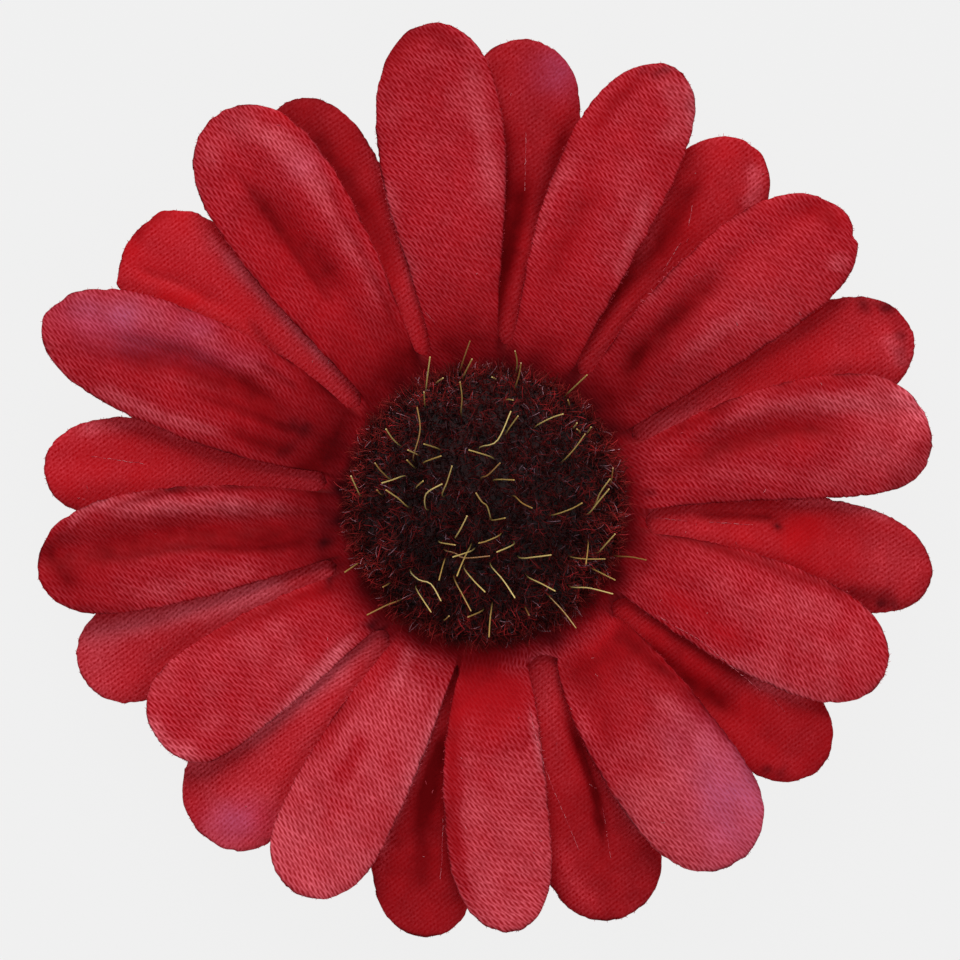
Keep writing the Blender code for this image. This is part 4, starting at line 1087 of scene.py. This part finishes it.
def fibreMaterial():
    # lighter on some tufts, brighter towards the rim as painted light, and dark at the roots as painted shade
    material, tree, shader = newMaterial("pile", Roughness=0.42, Specular_IOR_Level=0.08)
    where = objectPlace(tree)
    tufts = rampNode(tree, cloudy(tree, where, pile["tuft"])["Fac"], pile["tufts"])
    outward = calcVector(tree, "LENGTH", calcVector(tree, "MULTIPLY", where, (1.0, 1.0, 0.0))[0])["Value"]
    rim = rampNode(tree, calc(tree, "DIVIDE", outward, pile["rimRadius"] * mm), pile["rim"])
    colour = rampNode(tree, attribute(tree, "tone"), pile["tones"])
    for shade in (tufts, rim):
        colour = mixColour(tree, 1.0, colour, shade, "MULTIPLY")
    # painted shade: the fibres darken towards their roots
    tip = rampNode(tree, attribute(tree, "along"), [(0.25, 0.0), (0.75, 1.0)])
    tree.links.new(mixColour(tree, tip, pile["root"], colour), shader.inputs["Base Color"])
    return material


coreShape = coreMesh()
coreShape.materials.append(mottledMaterial("pileBase", 900.0, 2.0, pile["base"], Roughness=0.9)[0])
pilePieces = [newPiece("pileCore", coreShape)]
fibreFinish, fibreTree = fibreMaterial(), pileTree()
for name, layer in layers.items():
    pilePieces.append(bakeTree(name, coreShape.copy(), fibreTree, {**layer, "Material": fibreFinish}))
for piece in pilePieces:
    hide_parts("pile_centre")


# The gold strands, where the photograph shows them: pixels, root first

strands = {
    "thick": 0.15, "length": 5.2, "least": 0.9, "sunk": 1.6, "over": 1.0, "rootHeight": 16.0,
    "sides": 6, "steps": 14,
    "paths": [
        [(426, 391), (430, 357)], [(425, 406), (424, 392)], [(436, 384), (443, 378)],
        [(460, 373), (462, 364), (470, 341)], [(463, 378), (472, 359)], [(461, 413), (462, 397), (460, 382)],
        [(496, 380), (492, 377)], [(413, 459), (419, 437), (420, 424), (417, 407)],
        [(399, 445), (392, 438), (386, 429)], [(439, 449), (424, 444)], [(418, 455), (408, 450)],
        [(423, 463), (441, 456)], [(414, 467), (407, 460)], [(493, 458), (469, 450)],
        [(480, 447), (497, 441), (511, 411)], [(390, 479), (381, 471), (375, 463)],
        [(404, 476), (392, 480), (382, 483)], [(361, 496), (356, 487), (351, 476)], [(382, 495), (377, 490)],
        [(408, 507), (399, 499), (386, 490)], [(416, 488), (423, 481)], [(426, 509), (426, 494), (442, 484)],
        [(442, 495), (447, 482), (452, 466)], [(481, 478), (488, 475), (500, 463)], [(494, 480), (514, 480)],
        [(491, 520), (487, 506), (482, 502), (476, 493)], [(491, 520), (505, 518)],
        [(455, 538), (460, 530), (467, 516)], [(516, 373), (517, 361), (515, 351)],
        [(515, 388), (519, 375), (521, 363)], [(506, 400), (513, 400)], [(506, 433), (518, 416)],
        [(536, 426), (551, 418), (563, 414)], [(567, 394), (587, 375)], [(569, 406), (568, 400)],
        [(573, 428), (577, 423)], [(580, 433), (577, 429)], [(587, 433), (591, 427)],
        [(563, 461), (575, 448), (585, 434)], [(610, 484), (613, 468)], [(595, 504), (600, 493), (610, 479)],
        [(588, 514), (599, 501), (609, 489)], [(514, 496), (522, 503), (532, 508)],
        [(553, 515), (571, 509), (582, 503)], [(360, 562), (345, 572)], [(402, 599), (387, 605), (367, 615)],
        [(390, 583), (383, 587)], [(410, 571), (419, 580), (431, 584), (441, 601)], [(416, 588), (431, 612)],
        [(445, 559), (439, 580)], [(439, 542), (455, 545)], [(444, 550), (455, 553), (464, 558), (490, 556)],
        [(473, 550), (453, 557)], [(470, 547), (463, 561), (457, 576)], [(464, 568), (474, 581), (485, 592)],
        [(454, 578), (462, 594), (471, 611)], [(483, 610), (468, 617)], [(492, 604), (490, 620), (489, 637)],
        [(491, 566), (503, 580), (515, 598)], [(501, 534), (487, 541), (479, 543)], [(444, 620), (449, 616)],
        [(514, 544), (497, 552)], [(520, 558), (535, 557), (551, 555)], [(571, 557), (586, 559), (605, 559)],
        [(588, 541), (586, 564)], [(597, 553), (606, 544), (615, 534)], [(616, 556), (631, 557), (646, 560)],
        [(591, 568), (615, 580)], [(571, 587), (589, 588), (613, 594)], [(528, 577), (542, 584), (555, 591)],
        [(548, 595), (563, 611), (576, 628)], [(525, 607), (529, 615)],
    ],
}


def overPixel(u, v, height):
    # the millimetre place whose picture, at this height, falls on the pixel
    away = stage["distance"] / mm
    far = (away - height) / (away - stage["focus"])
    return (((u - pictureMiddle) * far + pictureMiddle - axisAt[0]) * pixel,
            ((pictureMiddle - v) * far + axisAt[1] - pictureMiddle) * pixel)


def strandGuides():
    lines = []
    for path in strands["paths"]:
        plan = sum(math.dist(a, b) for a, b in zip(path, path[1:])) * pixel
        rise = math.sqrt(max(strands["length"] ** 2 - plan ** 2, strands["least"] ** 2))
        x, y = overPixel(*path[0], strands["rootHeight"])
        away = max(math.hypot(x, y), 0.001)
        angle = math.asin(min(away / pile["radius"], 1.0) * math.sin(pile["bend"]))
        foot = domeHeight(angle) + strands["over"]
        heights = [foot + rise * n / (len(path) - 1) for n in range(len(path))]
        line = [(*overPixel(u, v, height), height) for (u, v), height in zip(path, heights)]
        inward = min(strands["sunk"] / 2, away)
        line.insert(0, (x * (1 - inward / away), y * (1 - inward / away), foot - strands["sunk"]))
        lines.append(line)
    return guideMesh("strandGuides", lines, np.random.default_rng(4).random(len(lines)))


def strandMaterial():
    material, tree, shader = newMaterial("strands", Roughness=0.3, Specular_IOR_Level=0.45)
    gold = rampNode(tree, attribute(tree, "tone"), [
        (0.0, (0.28, 0.11, 0.03)), (0.25, (0.42, 0.24, 0.065)), (0.6, (0.55, 0.38, 0.11)),
        (1.0, (0.70, 0.53, 0.18))])
    # painted shade: darker towards the root, where the strand sinks into the pile
    root = rampNode(tree, attribute(tree, "along"), [(0.1, 0.05), (0.45, 0.75), (1.0, 1.0)])
    tree.links.new(mixColour(tree, 1.0, gold, root, "MULTIPLY"), shader.inputs["Base Color"])
    return material


# Stage, lights and camera

stage = {
    "distance": 0.62, "focus": 10.5,  # camera height in metres; the height in millimetres drawn to scale
    "floor": (0.02, 0.02, 0.02), "glow": 0.848, "floorHalf": 2000.0, "floorTop": -0.2,
    "sky": (0.95, 0.96, 1.0), "world": 0.42,
    "lights": {  # place and size in metres, then power
        "keyLight": ((-0.1, 0.9, 0.72), 0.95, 12.0), "fillLight": ((0.35, -0.5, 0.8), 0.6, 2.0)},
}


def addLight(name, place, size, power):
    data = bpy.data.lights.new(name, "AREA")
    data.shape, data.size, data.energy = "DISK", size, power
    light = newObject(name, data)
    light.location = place
    light.rotation_euler = (Vector((0.0, 0.0, 0.01)) - Vector(place)).to_track_quat("-Z", "Y").to_euler()


def makeStage():
    half, top = stage["floorHalf"], stage["floorTop"]
    corners = [(-half, -half, top), (half, -half, top), (half, half, top), (-half, half, top)]
    mesh = newMesh("floor", corners, [(0, 1, 2, 3)])
    mesh.materials.append(newMaterial(
        "floor", Roughness=0.9, Specular_IOR_Level=0.1, Base_Color=(*stage["floor"], 1.0),
        Emission_Color=(1.0, 1.0, 1.0, 1.0), Emission_Strength=stage["glow"])[0])
    floor = newObject("floor", mesh)
    world = bpy.data.worlds.new("studio")
    bpy.context.scene.world = world
    world.use_nodes = True
    background = world.node_tree.nodes["Background"].inputs
    background["Color"].default_value = (*stage["sky"], 1.0)
    background["Strength"].default_value = stage["world"]
    for name, values in stage["lights"].items():
        addLight(name, *values)
    data = bpy.data.cameras.new("camera")
    camera = newObject("camera", data)
    beside, above = (pictureMiddle - axisAt[0]) * pixel, (axisAt[1] - pictureMiddle) * pixel
    camera.location = (beside * mm, above * mm, stage["distance"])
    width = 2 * pictureMiddle * pixel * mm
    data.lens = data.sensor_width * (stage["distance"] - stage["focus"] * mm) / width
    data.clip_start = 0.01
    bpy.context.scene.camera = camera
    bpy.context.scene.view_settings.view_transform = "Standard"


makeStage()
print("stage and camera made")
bakeTree("goldStrands", strandGuides(), tubeTree, {
    "Radius": strands["thick"] / 2 * mm, "Sides": strands["sides"], "Steps": strands["steps"],
    "Material": strandMaterial()})
